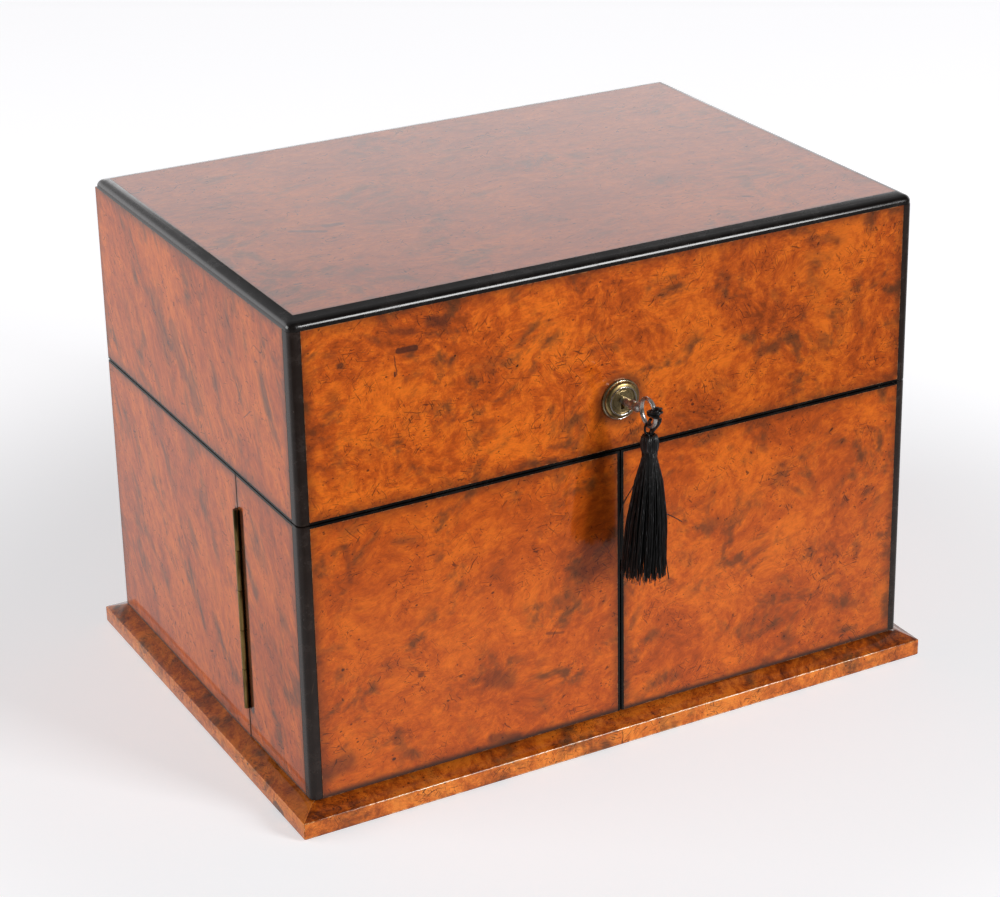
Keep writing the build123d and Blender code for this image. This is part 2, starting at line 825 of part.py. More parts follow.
with BuildPart() as lock_hook:
    with BuildSketch(Plane.XZ.offset(-wheel_y1)):
        with Locations((lock_x, hook_axis_z)):
            with BuildSketch(mode=Mode.PRIVATE) as hook_face:
                Circle(hook_hub_r)
                with BuildLine():
                    Polyline(
                        (0, 0),
                        *gear_outline(
                            hook_teeth, hook_spare_teeth - hook_cut_teeth + 1, hook_cut_teeth, 90
                        ),
                        close=True,
                    )
                make_face()
                with BuildLine():
                    Polyline(
                        (0, 0),
                        ring_point(hook_in_r + hook_web_lap, hook_back),
                        ring_point(hook_in_r + hook_web_lap, hook_web),
                        close=True,
                    )
                make_face()
                with BuildLine():
                    outer_arc = ThreePointArc(
                        ring_point(hook_out_r, hook_back),
                        ring_point(hook_out_r, (hook_back + hook_tip) / 2),
                        ring_point(hook_out_r, hook_tip),
                    )
                    inner_arc = ThreePointArc(
                        ring_point(hook_in_r, hook_back),
                        ring_point(hook_in_r, (hook_back + hook_tip) / 2),
                        ring_point(hook_in_r, hook_tip),
                    )
                    Line(outer_arc @ 0, inner_arc @ 0)
                    Line(outer_arc @ 1, inner_arc @ 1)
                make_face()
                Circle(hook_stud_r + turn_play, mode=Mode.SUBTRACT)
            add(hook_face.sketch)
    extrude(amount=wheel_t)
write(lock_hook, "lock_hook")

# Key: barrelled shank, bit, collar and an oval ring bow
with BuildPart() as key:
    with BuildSketch(Plane.XZ.offset(-key_depth + key_play)):
        with Locations((lock_x, lock_z)):
            Circle(key_r)
    extrude(amount=key_depth - key_play - (bow_y + bow_d / 2 - bow_wire / 2))
    with BuildSketch(Plane.XZ.offset(-(front_y - collar_out))):
        with Locations((lock_x, lock_z)):
            Circle(collar_r)
    extrude(amount=collar_t)
    block(
        lock_x - bit_w / 2, lock_x + bit_w / 2,
        key_depth - key_play - bit_len, key_depth - key_play,
        lock_z - bit_drop, lock_z,
    )
    with BuildSketch(Plane.YZ.offset(lock_x - bow_wire / 2)):
        Polygon(*oval(bow_y, lock_z, bow_d / 2, bow_h / 2), align=None)
        Polygon(
            *oval(bow_y, lock_z, bow_d / 2 - bow_wire, bow_h / 2 - bow_wire),
            align=None, mode=Mode.SUBTRACT,
        )
    extrude(amount=bow_wire)
write(key, "key")

# Tassel: a cord loop round the bow's lowest wire, a bound head and a spreading skirt
loop_z = lock_z - bow_h / 2 + bow_wire / 2
loop_r = bow_wire / math.sqrt(2) + loop_play + loop_cord / 2
with BuildPart() as cord_loop:
    with BuildSketch(Plane.XZ.offset(-bow_y)):
        Polygon(
            *oval(lock_x, loop_z, loop_r + loop_cord / 2, loop_r + loop_cord / 2), align=None
        )
        Polygon(
            *oval(lock_x, loop_z, loop_r - loop_cord / 2, loop_r - loop_cord / 2),
            align=None, mode=Mode.SUBTRACT,
        )
    extrude(amount=loop_cord / 2, both=True)
write(cord_loop, "cord_loop")

head_top = loop_z - loop_r - loop_cord / 2 - head_gap
head_levels = [
    (neck_z, neck_r),
    (head_top - cheek_drop, head_r),
    (head_top - shoulder_drop, shoulder_r),
    (head_top, crown_r),
]
write(faceted(lock_x, bow_y, tassel_facets, head_levels), "tassel_head")

skirt_levels = [
    (skirt_bottom_z, skirt_r),
    (neck_z - skirt_swell_drop, skirt_swell_r),
    (neck_z, neck_r),
]
write(faceted(lock_x, bow_y, tassel_facets, skirt_levels), "tassel_skirt")

# Decanters: square, arrised and hollow, under a faceted shoulder and a lipped neck
well = (2 * (inner_x - rack_end) - 2 * well_part) / 3
decanter_side = well - 2 * well_play
well_pitch = well + well_part
rack_front_y = inner_rear_y - well - 2 * rack_wall
decanter_y = inner_rear_y - rack_wall - well / 2
decanter_xs = [-well_pitch, 0, well_pitch]
stand_z = plinth_top_z + rack_floor


def eight_sided(z, side, arris):
    """A level of a square form with its corners cut off: half widths over the sides and corners."""
    return (z, side / 2, (side - arris) / math.sqrt(2))


stopper_top_z = lid_under_z - lining_t - stopper_room
above_body = decanter_shoulder_h + decanter_neck_h + decanter_lip_t + stopper_seat + stopper_h
shoulder_z = stopper_top_z - above_body
neck_z0 = shoulder_z + decanter_shoulder_h
mouth_z = neck_z0 + decanter_neck_h
neck_side = 2 * decanter_neck_r
neck_arris = decanter_neck_r * (2 - math.sqrt(2))
hollow_side = decanter_side - 2 * decanter_wall
hollow_arris = decanter_arris - decanter_wall * (2 - math.sqrt(2)) / 2
stopper_z = mouth_z + decanter_lip_t

for number, x in enumerate(decanter_xs, start=1):
    outside = faceted(
        x, decanter_y, 8,
        [
            eight_sided(stand_z, decanter_side, decanter_arris),
            eight_sided(shoulder_z, decanter_side, decanter_arris),
            eight_sided(neck_z0, neck_side, neck_arris),
            eight_sided(mouth_z, neck_side, neck_arris),
        ],
    )
    inside = faceted(
        x, decanter_y, 8,
        [
            eight_sided(stand_z + decanter_base_t, hollow_side, hollow_arris),
            eight_sided(shoulder_z, hollow_side, hollow_arris),
            (neck_z0, decanter_mouth_r, decanter_mouth_r),
        ],
    )
    with BuildPart() as decanter:
        add(outside.part)
        with Locations((x, decanter_y, mouth_z + decanter_lip_t / 2)):
            Cylinder(decanter_lip_r, decanter_lip_t)
        cut(inside)
        with Locations((x, decanter_y, (neck_z0 + stopper_z) / 2)):
            Cylinder(decanter_mouth_r, stopper_z - neck_z0, mode=Mode.SUBTRACT)
    write(decanter, f"decanter_{number}")

    stopper_foot_z = stopper_z + stopper_seat
    with BuildPart() as stopper:
        with Locations((x, decanter_y, stopper_foot_z - stopper_stem_h / 2)):
            Cylinder(stopper_stem_r, stopper_stem_h)
        add(
            faceted(
                x, decanter_y, stopper_facets,
                [(stopper_foot_z + up * stopper_h, out * stopper_r) for up, out in stopper_profile],
            ).part
        )
    write(stopper, f"stopper_{number}")

# Rack with a well for each decanter, and a lined tray in front of it
with BuildPart() as decanter_rack:
    block(-inner_x, inner_x, rack_front_y, inner_rear_y, plinth_top_z, plinth_top_z + rack_h)
    for x in decanter_xs:
        block(
            x - well / 2, x + well / 2, decanter_y - well / 2, decanter_y + well / 2,
            stand_z, plinth_top_z + rack_h, Mode.SUBTRACT,
        )
write(decanter_rack, "decanter_rack")

tray_y0 = case_edge_y + tray_gap
tray_y1 = rack_front_y - tray_gap
with BuildPart() as front_tray:
    block(-inner_x + tray_gap, inner_x - tray_gap, tray_y0, tray_y1, plinth_top_z, plinth_top_z + tray_h)
    block(
        -inner_x + tray_gap + tray_wall, -tray_wall / 2, tray_y0 + tray_wall, tray_y1 - tray_wall,
        plinth_top_z + tray_wall, plinth_top_z + tray_h, Mode.SUBTRACT,
    )
    block(
        tray_wall / 2, inner_x - tray_gap - tray_wall, tray_y0 + tray_wall, tray_y1 - tray_wall,
        plinth_top_z + tray_wall, plinth_top_z + tray_h, Mode.SUBTRACT,
    )
write(front_tray, "front_tray")
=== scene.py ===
import json
import math
import random

import bmesh
import bpy
from mathutils import Matrix, Vector


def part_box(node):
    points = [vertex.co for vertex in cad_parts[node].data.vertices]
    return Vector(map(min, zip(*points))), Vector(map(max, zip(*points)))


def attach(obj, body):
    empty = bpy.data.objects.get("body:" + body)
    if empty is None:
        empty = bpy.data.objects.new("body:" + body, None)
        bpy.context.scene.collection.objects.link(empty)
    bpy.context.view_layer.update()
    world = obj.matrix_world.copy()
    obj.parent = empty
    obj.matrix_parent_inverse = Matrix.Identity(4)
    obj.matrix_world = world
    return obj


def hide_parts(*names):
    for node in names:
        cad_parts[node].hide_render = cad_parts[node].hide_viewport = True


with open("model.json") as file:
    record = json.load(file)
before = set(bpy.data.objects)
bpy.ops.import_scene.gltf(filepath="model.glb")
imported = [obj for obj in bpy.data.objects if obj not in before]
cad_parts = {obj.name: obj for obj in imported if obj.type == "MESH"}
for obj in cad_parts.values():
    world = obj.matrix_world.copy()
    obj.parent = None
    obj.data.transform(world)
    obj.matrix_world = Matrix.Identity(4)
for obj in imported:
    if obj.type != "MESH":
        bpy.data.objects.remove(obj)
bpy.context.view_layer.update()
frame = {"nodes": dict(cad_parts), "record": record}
nodes = frame["nodes"]
mm = 0.001
bodyOf = {node: body for body, names in frame["record"]["behaviour"]["bodies"].items() for node in names}
slotOf = {part["node"]: part["material_slot"] for part in frame["record"]["subparts"]}
print("frame:", len(nodes), "nodes")

# Camera, fitted to the box's corners and edges in the photo
cameraFit = {
    "place": (-0.61106, -1.14256, 0.69231),
    "yaw": 0.5169, "pitch": 0.3786, "roll": -0.0103,
    "lens": 97.453, "sensor": 36.0, "shift": (-0.0662, -0.1144),
}


def makeCamera(fit):
    sight = Vector((
        math.cos(fit["pitch"]) * math.sin(fit["yaw"]),
        math.cos(fit["pitch"]) * math.cos(fit["yaw"]),
        -math.sin(fit["pitch"]),
    ))
    level = Vector((math.cos(fit["yaw"]), -math.sin(fit["yaw"]), 0))
    up = level.cross(sight)
    c, s = math.cos(fit["roll"]), math.sin(fit["roll"])
    right, top = c * level + s * up, c * up - s * level
    data = bpy.data.cameras.new("camera")
    data.lens, data.sensor_width = fit["lens"], fit["sensor"]
    data.shift_x, data.shift_y = fit["shift"]
    data.clip_start, data.clip_end = 0.01, 50
    camera = bpy.data.objects.new("camera", data)
    bpy.context.scene.collection.objects.link(camera)
    turn = Matrix((right, top, -sight)).transposed()
    camera.matrix_world = Matrix.Translation(fit["place"]) @ turn.to_4x4()
    bpy.context.scene.camera = camera


makeCamera(cameraFit)


# Small helpers for node trees
def addNode(tree, kind, inputs=None, **settings):
    made = tree.nodes.new("ShaderNode" + kind)
    for name, value in settings.items():
        setattr(made, name, value)
    for socket, value in (inputs or {}).items():
        feed(tree, made.inputs[socket], value)
    return made


def feed(tree, socket, value):
    if isinstance(value, bpy.types.NodeSocket):
        tree.links.new(value, socket)
    else:
        socket.default_value = value


def calc(tree, operation, a, b=0.0, c=0.0, clamp=False):
    return addNode(tree, "Math", {0: a, 1: b, 2: c}, operation=operation, use_clamp=clamp).outputs[0]


def times(tree, a, b):
    return calc(tree, "MULTIPLY", a, b)


def minus(tree, a, b):
    return calc(tree, "SUBTRACT", a, b)


def invert(tree, a):
    return calc(tree, "SUBTRACT", 1.0, a)


def larger(tree, a, b, clamp=False):
    return calc(tree, "MAXIMUM", a, b, clamp=clamp)


def timesPlus(tree, a, factor, plus):
    return calc(tree, "MULTIPLY_ADD", a, factor, plus)


def vectorCalc(tree, operation, a, b=(0, 0, 0), scale=1.0):  # scale may be a value or a socket
    made = addNode(tree, "VectorMath", {0: a, 1: b, 3: scale}, operation=operation)
    return made.outputs["Value" if operation in ("LENGTH", "DISTANCE") else "Vector"]


def split(tree, vector):  # its three coordinates
    return addNode(tree, "SeparateXYZ", {0: vector}).outputs


def channels(tree, color):
    return addNode(tree, "SeparateColor", {0: color}).outputs


def attribute(tree, name, output="Vector"):
    return addNode(tree, "Attribute", attribute_name=name).outputs[output]


def fade(tree, value, low, high, to=(0.0, 1.0)):  # smooth step from low to high
    made = addNode(tree, "MapRange", {0: value, 1: low, 2: high, 3: to[0], 4: to[1]})
    made.interpolation_type = "SMOOTHSTEP"
    return made.outputs[0]


def grain(tree, vector, size, detail=2.0, roughness=0.5, distortion=0.0):  # noise; size in millimetres
    made = addNode(tree, "TexNoise", {
        "Vector": vector, "Scale": 1 / size, "Detail": detail,
        "Roughness": roughness, "Distortion": distortion,
    })
    return made.outputs["Fac"], made.outputs["Color"]


def cells(tree, vector, size, feature="F1"):
    made = addNode(tree, "TexVoronoi", {"Vector": vector, "Scale": 1 / size}, feature=feature)
    return times(tree, made.outputs["Distance"], size), made.outputs["Color"]


def shift(tree, vector, offset):
    return vectorCalc(tree, "ADD", vector, offset)


def stretch(tree, vector, amounts):
    return vectorCalc(tree, "MULTIPLY", vector, amounts)


def warp(tree, vector, size, reach, detail=2.0):
    push = vectorCalc(tree, "SUBTRACT", grain(tree, vector, size, detail)[1], (0.5, 0.5, 0.5))
    return vectorCalc(tree, "ADD", vector, vectorCalc(tree, "SCALE", push, scale=reach))


def mixColor(tree, factor, a, b, blend="MIX"):
    made = addNode(tree, "Mix", data_type="RGBA", blend_type=blend, clamp_factor=True)
    feed(tree, made.inputs[0], factor)
    feed(tree, made.inputs[6], a)
    feed(tree, made.inputs[7], b)
    return made.outputs[2]


def newGroup(name, inputs, outputs):
    tree = bpy.data.node_groups.new(name, "ShaderNodeTree")
    kinds = {"float": "NodeSocketFloat", "vector": "NodeSocketVector", "color": "NodeSocketColor"}
    for socket, kind in inputs.items():
        tree.interface.new_socket(socket, in_out="INPUT", socket_type=kinds[kind])
    for socket, kind in outputs.items():
        tree.interface.new_socket(socket, in_out="OUTPUT", socket_type=kinds[kind])
    return tree, tree.nodes.new("NodeGroupInput").outputs, tree.nodes.new("NodeGroupOutput").inputs


def useGroup(tree, group, inputs):
    made = tree.nodes.new("ShaderNodeGroup")
    made.node_tree = group
    for socket, value in inputs.items():
        feed(tree, made.inputs[socket], value)
    return made.outputs


def newMaterial(name):
    material = bpy.data.materials.new(name)
    material.use_nodes = True
    tree = material.node_tree
    return material, tree, tree.nodes["Principled BSDF"]


def setShader(tree, shader, **values):
    for name, value in values.items():
        feed(tree, shader.inputs[name.replace("_", " ")], value)


def millimetres(tree):  # object coordinates in millimetres
    return vectorCalc(tree, "SCALE", addNode(tree, "TexCoord").outputs["Object"], scale=1000.0)


def bump(tree, height, distance, strength=1.0):  # distance in millimetres
    made = addNode(tree, "Bump", {"Height": height, "Distance": distance * mm, "Strength": strength})
    return made.outputs[0]


# Burr figure: soft clouds, fibres, knots, specks and hairline squiggles, in millimetres of the panel
burr = {  # sizes of the noises and cells
    "drift": 40, "driftReach": 24, "swirl": 8, "swirlReach": 4.0, "broad": 38, "mottle": 6.5,
    "patches": 26, "clouds": 11, "fibre": 0.9, "fibreStretch": 0.13,
    "knots": 10, "specks": 2.3, "speckPatches": 16,
    "squiggles": 10, "squiggleWidth": 0.0052, "hair": 0.62, "hairPatches": 22,
    "hairRuns": ((0.3, 3, 0.055), (1.35, 44, 0.024), (2.4, 95, 0.045)),  # turn, seed, stretch
    "ink": (0.040, 0.011, 0.004, 1),
}


def burrGroup():
    tree, given, out = newGroup(
        "burr figure",
        {"Vector": "vector", "Amber": "color", "Russet": "color", "Umber": "color", "Smoke": "color",
         "Contrast": "float", "Clouds": "float", "Fibre": "float", "Knots": "float", "Hairs": "float"},
        {"Color": "color", "Dark": "float"},
    )
    place = given["Vector"]
    drift = warp(tree, place, burr["drift"], burr["driftReach"], 1)
    swirl = warp(tree, drift, burr["swirl"], burr["swirlReach"], 2)
    broad = grain(tree, drift, burr["broad"], 2, 0.5)[0]
    mottle = grain(tree, swirl, burr["mottle"], 7, 0.78)[0]
    ground = timesPlus(tree, broad, 0.46, times(tree, mottle, 0.78))
    ground = timesPlus(tree, minus(tree, ground, 0.62), given["Contrast"], 0.62)
    color = mixColor(tree, fade(tree, ground, 0.46, 0.70), given["Amber"], given["Russet"])
    color = mixColor(tree, fade(tree, ground, 0.62, 0.86), color, given["Umber"])
    # smoky clouds, thick in some places and absent in others
    where = grain(tree, shift(tree, drift, (7, 210, 50)), burr["patches"], 2)[0]
    cloud = grain(tree, shift(tree, drift, (80, 9, 33)), burr["clouds"], 4, 0.62)[0]
    cloudy = times(tree, fade(tree, cloud, 0.44, 0.68), fade(tree, where, 0.42, 0.62))
    color = mixColor(tree, times(tree, cloudy, given["Clouds"]), color, given["Smoke"])
    # fibres follow the swirl
    fibre = grain(tree, stretch(tree, swirl, (burr["fibreStretch"], 1.0, 1.0)), burr["fibre"], 2, 0.65)[0]
    lift = timesPlus(tree, minus(tree, fibre, 0.5), given["Fibre"], 1.0)
    color = vectorCalc(tree, "SCALE", color, scale=lift)
    # knots in clusters, each with a smudge round it
    reach, tint = cells(tree, warp(tree, swirl, 2.5, 1.2, 1), burr["knots"])
    pick = channels(tree, tint)
    chosen = times(tree, fade(tree, pick[0], 0.44, 0.48), fade(tree, where, 0.46, 0.54))
    size = timesPlus(tree, pick[1], 0.75, 0.15)
    heart = invert(tree, fade(tree, minus(tree, reach, size), -0.15, 0.35))
    smudge = times(tree, invert(tree, fade(tree, reach, 0.6, 3.6)), 0.34)
    knot = times(tree, larger(tree, heart, smudge), times(tree, chosen, given["Knots"]))
    # small specks, thick in patches
    dash, tintDash = cells(tree, stretch(tree, place, (0.8, 1.0, 1.0)), burr["specks"])
    patch = grain(tree, shift(tree, place, (9, 77, 310)), burr["speckPatches"], 2)[0]
    least = timesPlus(tree, patch, -1.5, 1.29)
    speckSize = times(tree, minus(tree, channels(tree, tintDash)[0], least), 0.9)
    fleck = invert(tree, fade(tree, minus(tree, dash, speckSize), -0.14, 0.06))
    # hairline squiggles: the contour of a noise, broken up
    contour = grain(tree, shift(tree, place, (60, 60, 60)), burr["squiggles"], 2, 0.5, 0.8)[0]
    off = calc(tree, "ABSOLUTE", minus(tree, contour, 0.5))
    thin = calc(tree, "LESS_THAN", off, burr["squiggleWidth"])
    broken = fade(tree, grain(tree, shift(tree, place, (11, 500, 9)), 7, 2)[0], 0.56, 0.62)
    hair = times(tree, thin, broken)
    # straight hairs in three directions, strewn in patches
    bent = warp(tree, place, 11, 6, 1)
    lines = 0.0
    most = calc(tree, "ADD", given["Hairs"], 0.03)
    for turn, seed, long in burr["hairRuns"]:
        moved = shift(tree, bent, (seed, seed * 2, seed))
        laid = addNode(tree, "Mapping", {0: moved, "Rotation": (0, 0, turn)}).outputs[0]
        line = grain(tree, stretch(tree, laid, (long, 1.0, 1.0)), burr["hair"], 0)[0]
        lines = larger(tree, lines, fade(tree, line, given["Hairs"], most))
    strewn = grain(tree, shift(tree, place, (200, 7, 31)), burr["hairPatches"], 3, 0.6)[0]
    strewn = fade(tree, strewn, 0.44, 0.60)
    hair = larger(tree, hair, times(tree, lines, strewn))
    fine = larger(tree, times(tree, fleck, 0.75), times(tree, hair, 0.72))
    dark = larger(tree, times(tree, knot, 0.85), fine, clamp=True)
    feed(tree, out["Color"], mixColor(tree, dark, color, burr["ink"]))
    feed(tree, out["Dark"], dark)
    return tree


# One dark mark with a soft rim, used for stains and for painted shade: a capsule in the panel's plane, in
# millimetres
def blotAndShadeGroup():
    tree, given, out = newGroup(
        "blotAndShade",
        {"Vector": "vector", "Centre": "vector", "Turn": "float", "Half": "float", "Radius": "float",
         "Rim": "float", "Depth": "float", "Under": "float"},
        {"Mark": "float"},
    )
    local = addNode(
        tree, "VectorRotate", {0: given["Vector"], 1: given["Centre"], 3: given["Turn"]},
        rotation_type="Z_AXIS",
    )
    away = split(tree, vectorCalc(tree, "SUBTRACT", local.outputs[0], given["Centre"]))
    along = larger(tree, minus(tree, calc(tree, "ABSOLUTE", away[0]), given["Half"]), 0.0)
    squares = calc(tree, "ADD", calc(tree, "POWER", along, 2.0), calc(tree, "POWER", away[1], 2.0))
    far = calc(tree, "SQRT", squares)
    mark = invert(tree, fade(tree, minus(tree, far, given["Radius"]), 0.0, given["Rim"]))
    feed(tree, out["Mark"], larger(tree, given["Under"], times(tree, mark, given["Depth"])))
    return tree


# Dirt and painted shade along a border, and wear: Edge is the distance in from it, in millimetres
def borderGroup():
    tree, given, out = newGroup(
        "border shade and wear", {"Vector": "vector", "Edge": "float", "Reach": "float"},
        {"GrimeAndShade": "float", "Bare": "float"},
    )
    cloud = grain(tree, given["Vector"], 9, 3, 0.6)[0]
    reach = times(tree, given["Reach"], timesPlus(tree, cloud, 1.7, -0.05))
    near = invert(tree, addNode(tree, "MapRange", {0: given["Edge"], 1: 0.0, 2: reach}).outputs[0])
    feed(tree, out["GrimeAndShade"], calc(tree, "POWER", near, 1.6, clamp=True))
    broken = grain(tree, shift(tree, given["Vector"], (5, 5, 70)), 4.5, 4, 0.75)[0]
    rim = calc(tree, "LESS_THAN", given["Edge"], times(tree, minus(tree, broken, 0.50), 2.2))
    feed(tree, out["Bare"], rim)
    return tree


# Fine marks in a polish: long hair scratches and specks of dust
def marksGroup():
    tree, given, out = newGroup(
        "polish marks", {"Vector": "vector", "Scratches": "float", "Dust": "float"},
        {"Scratch": "float", "Speck": "float"},
    )
    lines = 0.0
    for turn, seed in ((0.35, 0), (1.9, 40), (2.7, 90)):
        moved = shift(tree, given["Vector"], (seed, seed, seed))
        laid = addNode(tree, "Mapping", {0: moved, "Rotation": (turn, turn * 0.7, turn)}).outputs[0]
        line = grain(tree, stretch(tree, laid, (0.018, 1.0, 1.0)), 0.9, 1)[0]
        lines = larger(tree, lines, fade(tree, line, 0.70, 0.76))
    patch = fade(tree, grain(tree, given["Vector"], 26, 2)[0], 0.45, 0.7)
    feed(tree, out["Scratch"], times(tree, times(tree, lines, patch), given["Scratches"]))
    dot, tint = cells(tree, given["Vector"], 2.6)
    speck = calc(tree, "LESS_THAN", dot, times(tree, minus(tree, channels(tree, tint)[0], 0.80), 0.9))
    feed(tree, out["Speck"], times(tree, speck, given["Dust"]))
    return tree


burrFigure = burrGroup()
blotAndShade = blotAndShadeGroup()
borderShadeAndWear = borderGroup()
polishMarks = marksGroup()

veneerTones = {
    "amber": (0.78, 0.165, 0.009, 1),
    "russet": (0.50, 0.080, 0.005, 1),
    "umber": (0.24, 0.042, 0.004, 1),
    "smoke": (0.120, 0.040, 0.012, 1),
    "bare": (0.40, 0.20, 0.09, 1),
    "grimeAndShade": (0.055, 0.016, 0.005, 1),
    "foot": (0.020, 0.008, 0.005, 1),
    "blotAndShade": (0.045, 0.015, 0.009, 1),
}


def veneerMaterial(
    name, contrast=1.0, clouds=0.85, fibre=0.6, knots=1.0, hairs=0.755, grimeAndShade=9.0, foot=0.0, shade=None,
    tones=veneerTones, blotsAndShade=(),
):
    material, tree, shader = newMaterial(name)
    place = attribute(tree, "figure")
    edge = attribute(tree, "edge", "Fac")
    figure = useGroup(tree, burrFigure, {
        "Vector": place, "Amber": tones["amber"], "Russet": tones["russet"], "Umber": tones["umber"],
        "Smoke": tones["smoke"], "Contrast": contrast, "Clouds": clouds, "Fibre": fibre,
        "Knots": knots, "Hairs": hairs,
    })
    color = figure["Color"]
    spot = attribute(tree, "spot")
    if shade:  # painted shade, darker towards one side: from, to, share of light left
        dim = fade(tree, split(tree, spot)[0], shade[0], shade[1], (1.0, shade[2]))
        color = vectorCalc(tree, "SCALE", color, scale=dim)
    if foot:  # painted shade and dirt in the joint at the panel's foot
        footShadeAndDirt = fade(tree, split(tree, spot)[2], 0.5, foot, (0.92, 0.0))
        color = mixColor(tree, footShadeAndDirt, color, tones["foot"])
    if blotsAndShade:
        wavy = warp(tree, spot, 3.0, 1.1, 2)
        marked = 0.0
        for x, z, turn, half, radius, rim, depth in blotsAndShade:
            marked = useGroup(tree, blotAndShade, {
                "Vector": wavy, "Centre": (x, z, 0), "Turn": math.radians(turn), "Half": half,
                "Radius": radius, "Rim": rim, "Depth": depth, "Under": marked,
            })["Mark"]
        color = mixColor(tree, marked, color, tones["blotAndShade"])
    border = useGroup(tree, borderShadeAndWear, {"Vector": place, "Edge": edge, "Reach": grimeAndShade})
    marks = useGroup(tree, polishMarks, {"Vector": place, "Scratches": 0.6, "Dust": 0.35})
    # dirt and painted shade, darker near the panel's borders
    color = mixColor(tree, times(tree, border["GrimeAndShade"], 0.6), color, tones["grimeAndShade"])
    color = mixColor(tree, times(tree, border["Bare"], 0.6), color, tones["bare"])
    color = mixColor(tree, times(tree, marks["Scratch"], 0.15), color, tones["bare"])
    setShader(
        tree, shader,
        Base_Color=color,
        Roughness=timesPlus(tree, figure["Dark"], 0.2, 0.45),
        Specular_IOR_Level=0.04,
        Coat_Weight=invert(tree, times(tree, border["Bare"], 0.8)),
        Coat_Roughness=0.07,
        Coat_IOR=1.5,
    )
    feed(tree, shader.inputs["Coat Normal"], bump(tree, grain(tree, place, 30, 1)[0], 0.10, 0.22))
    return material


def ebonisedMaterial(name, deep, dull, polish=0.28):
    material, tree, shader = newMaterial(name)
    place = millimetres(tree)
    marks = useGroup(tree, polishMarks, {"Vector": place, "Scratches": 1.0, "Dust": 1.0})
    fog = fade(tree, grain(tree, place, 9, 4, 0.65)[0], 0.42, 0.75)
    color = mixColor(tree, fog, deep, dull)
    color = mixColor(tree, times(tree, marks["Speck"], 0.45), color, (0.40, 0.35, 0.30, 1))
    color = mixColor(tree, times(tree, marks["Scratch"], 0.35), color, (0.10, 0.07, 0.045, 1))
    setShader(
        tree, shader,
        Base_Color=color, Roughness=timesPlus(tree, fog, 0.16, 0.20), Specular_IOR_Level=0.22,
        Coat_Weight=polish, Coat_Roughness=0.09, Coat_IOR=1.5,
        Normal=bump(tree, calc(tree, "ADD", grain(tree, place, 5, 3)[0], marks["Scratch"]), 0.06, 0.45),
    )
    return material


def plainWood(name, light, dark, roughness=0.38, along=(0.06, 1.0, 1.0)):
    material, tree, shader = newMaterial(name)
    place = stretch(tree, warp(tree, millimetres(tree), 60, 9), along)
    figure = fade(tree, grain(tree, place, 5.5, 4, 0.62)[0], 0.32, 0.7)
    pores = fade(tree, grain(tree, stretch(tree, place, (0.5, 1.0, 1.0)), 0.55, 2)[0], 0.60, 0.72)
    color = mixColor(tree, figure, light, dark)
    poreColor = (*(c * 0.3 for c in dark[:3]), 1)
    color = mixColor(tree, times(tree, pores, 0.55), color, poreColor)
    setShader(
        tree, shader,
        Base_Color=color, Roughness=timesPlus(tree, pores, 0.2, roughness), Specular_IOR_Level=0.35,
        Coat_Weight=0.35, Coat_Roughness=0.22,
        Normal=bump(tree, times(tree, pores, -1.0), 0.06, 0.5),
    )
    return material


def brassMaterial(
    name, age=0.8, clean=(0.62, 0.42, 0.15, 1), old=(0.115, 0.082, 0.036, 1), streak=(1.0, 1.0, 1.0)
):
    material, tree, shader = newMaterial(name)
    place = stretch(tree, millimetres(tree), streak)
    patina = fade(tree, grain(tree, place, 5.0, 5, 0.65)[0], 0.40, 0.62)
    dirt = fade(tree, grain(tree, shift(tree, place, (30, 9, 2)), 1.6, 4, 0.65)[0], 0.45, 0.70)
    worn = times(tree, larger(tree, patina, times(tree, dirt, 0.6)), age)
    color = mixColor(tree, worn, clean, old)
    close = vectorCalc(tree, "SCALE", place, scale=3.0)
    marks = useGroup(tree, polishMarks, {"Vector": close, "Scratches": 1.0, "Dust": 0.5})
    setShader(
        tree, shader,
        Base_Color=color, Metallic=1.0,
        Roughness=timesPlus(tree, worn, 0.22, 0.24),
        Normal=bump(tree, calc(tree, "ADD", times(tree, dirt, 0.5), marks["Scratch"]), 0.03, 0.5),
    )
    return material


def steelMaterial(
    name, clean=(0.62, 0.60, 0.57, 1), old=(0.40, 0.385, 0.365, 1), roughness=0.14, bright=1.0
):
    material, tree, shader = newMaterial(name)
    place = millimetres(tree)
    smear = fade(tree, grain(tree, place, 3.0, 4, 0.6)[0], 0.40, 0.68)
    spots = fade(tree, grain(tree, place, 0.8, 3, 0.7)[0], 0.60, 0.70)
    color = mixColor(tree, smear, clean, old)
    color = mixColor(tree, times(tree, spots, 0.6), color, (0.12, 0.09, 0.065, 1))
    setShader(
        tree, shader,
        Base_Color=color, Metallic=bright, Roughness=timesPlus(tree, smear, 0.16, roughness),
        Normal=bump(tree, grain(tree, stretch(tree, place, (1, 0.1, 1)), 0.35, 2)[0], 0.01, 0.5),
    )
    return material


def silkMaterial(name):
    material, tree, shader = newMaterial(name)
    place = millimetres(tree)
    tone = grain(tree, stretch(tree, place, (1.0, 1.0, 0.12)), 0.8, 2)[0]
    pale = fade(tree, grain(tree, stretch(tree, place, (1.0, 1.0, 0.05)), 0.45, 1)[0], 0.62, 0.70)
    twist = grain(tree, stretch(tree, place, (1.0, 1.0, 0.5)), 0.16, 2)[0]
    color = mixColor(tree, tone, (0.0012, 0.0012, 0.0013, 1), (0.0042, 0.0041, 0.0041, 1))
    color = mixColor(tree, times(tree, pale, 0.8), color, (0.085, 0.085, 0.090, 1))  # painted highlight: pale threads that glint
    setShader(
        tree, shader,
        Base_Color=color,
        Roughness=timesPlus(tree, twist, 0.30, 0.22), Specular_IOR_Level=0.42,
        Normal=bump(tree, twist, 0.02, 0.4),
    )
    return material


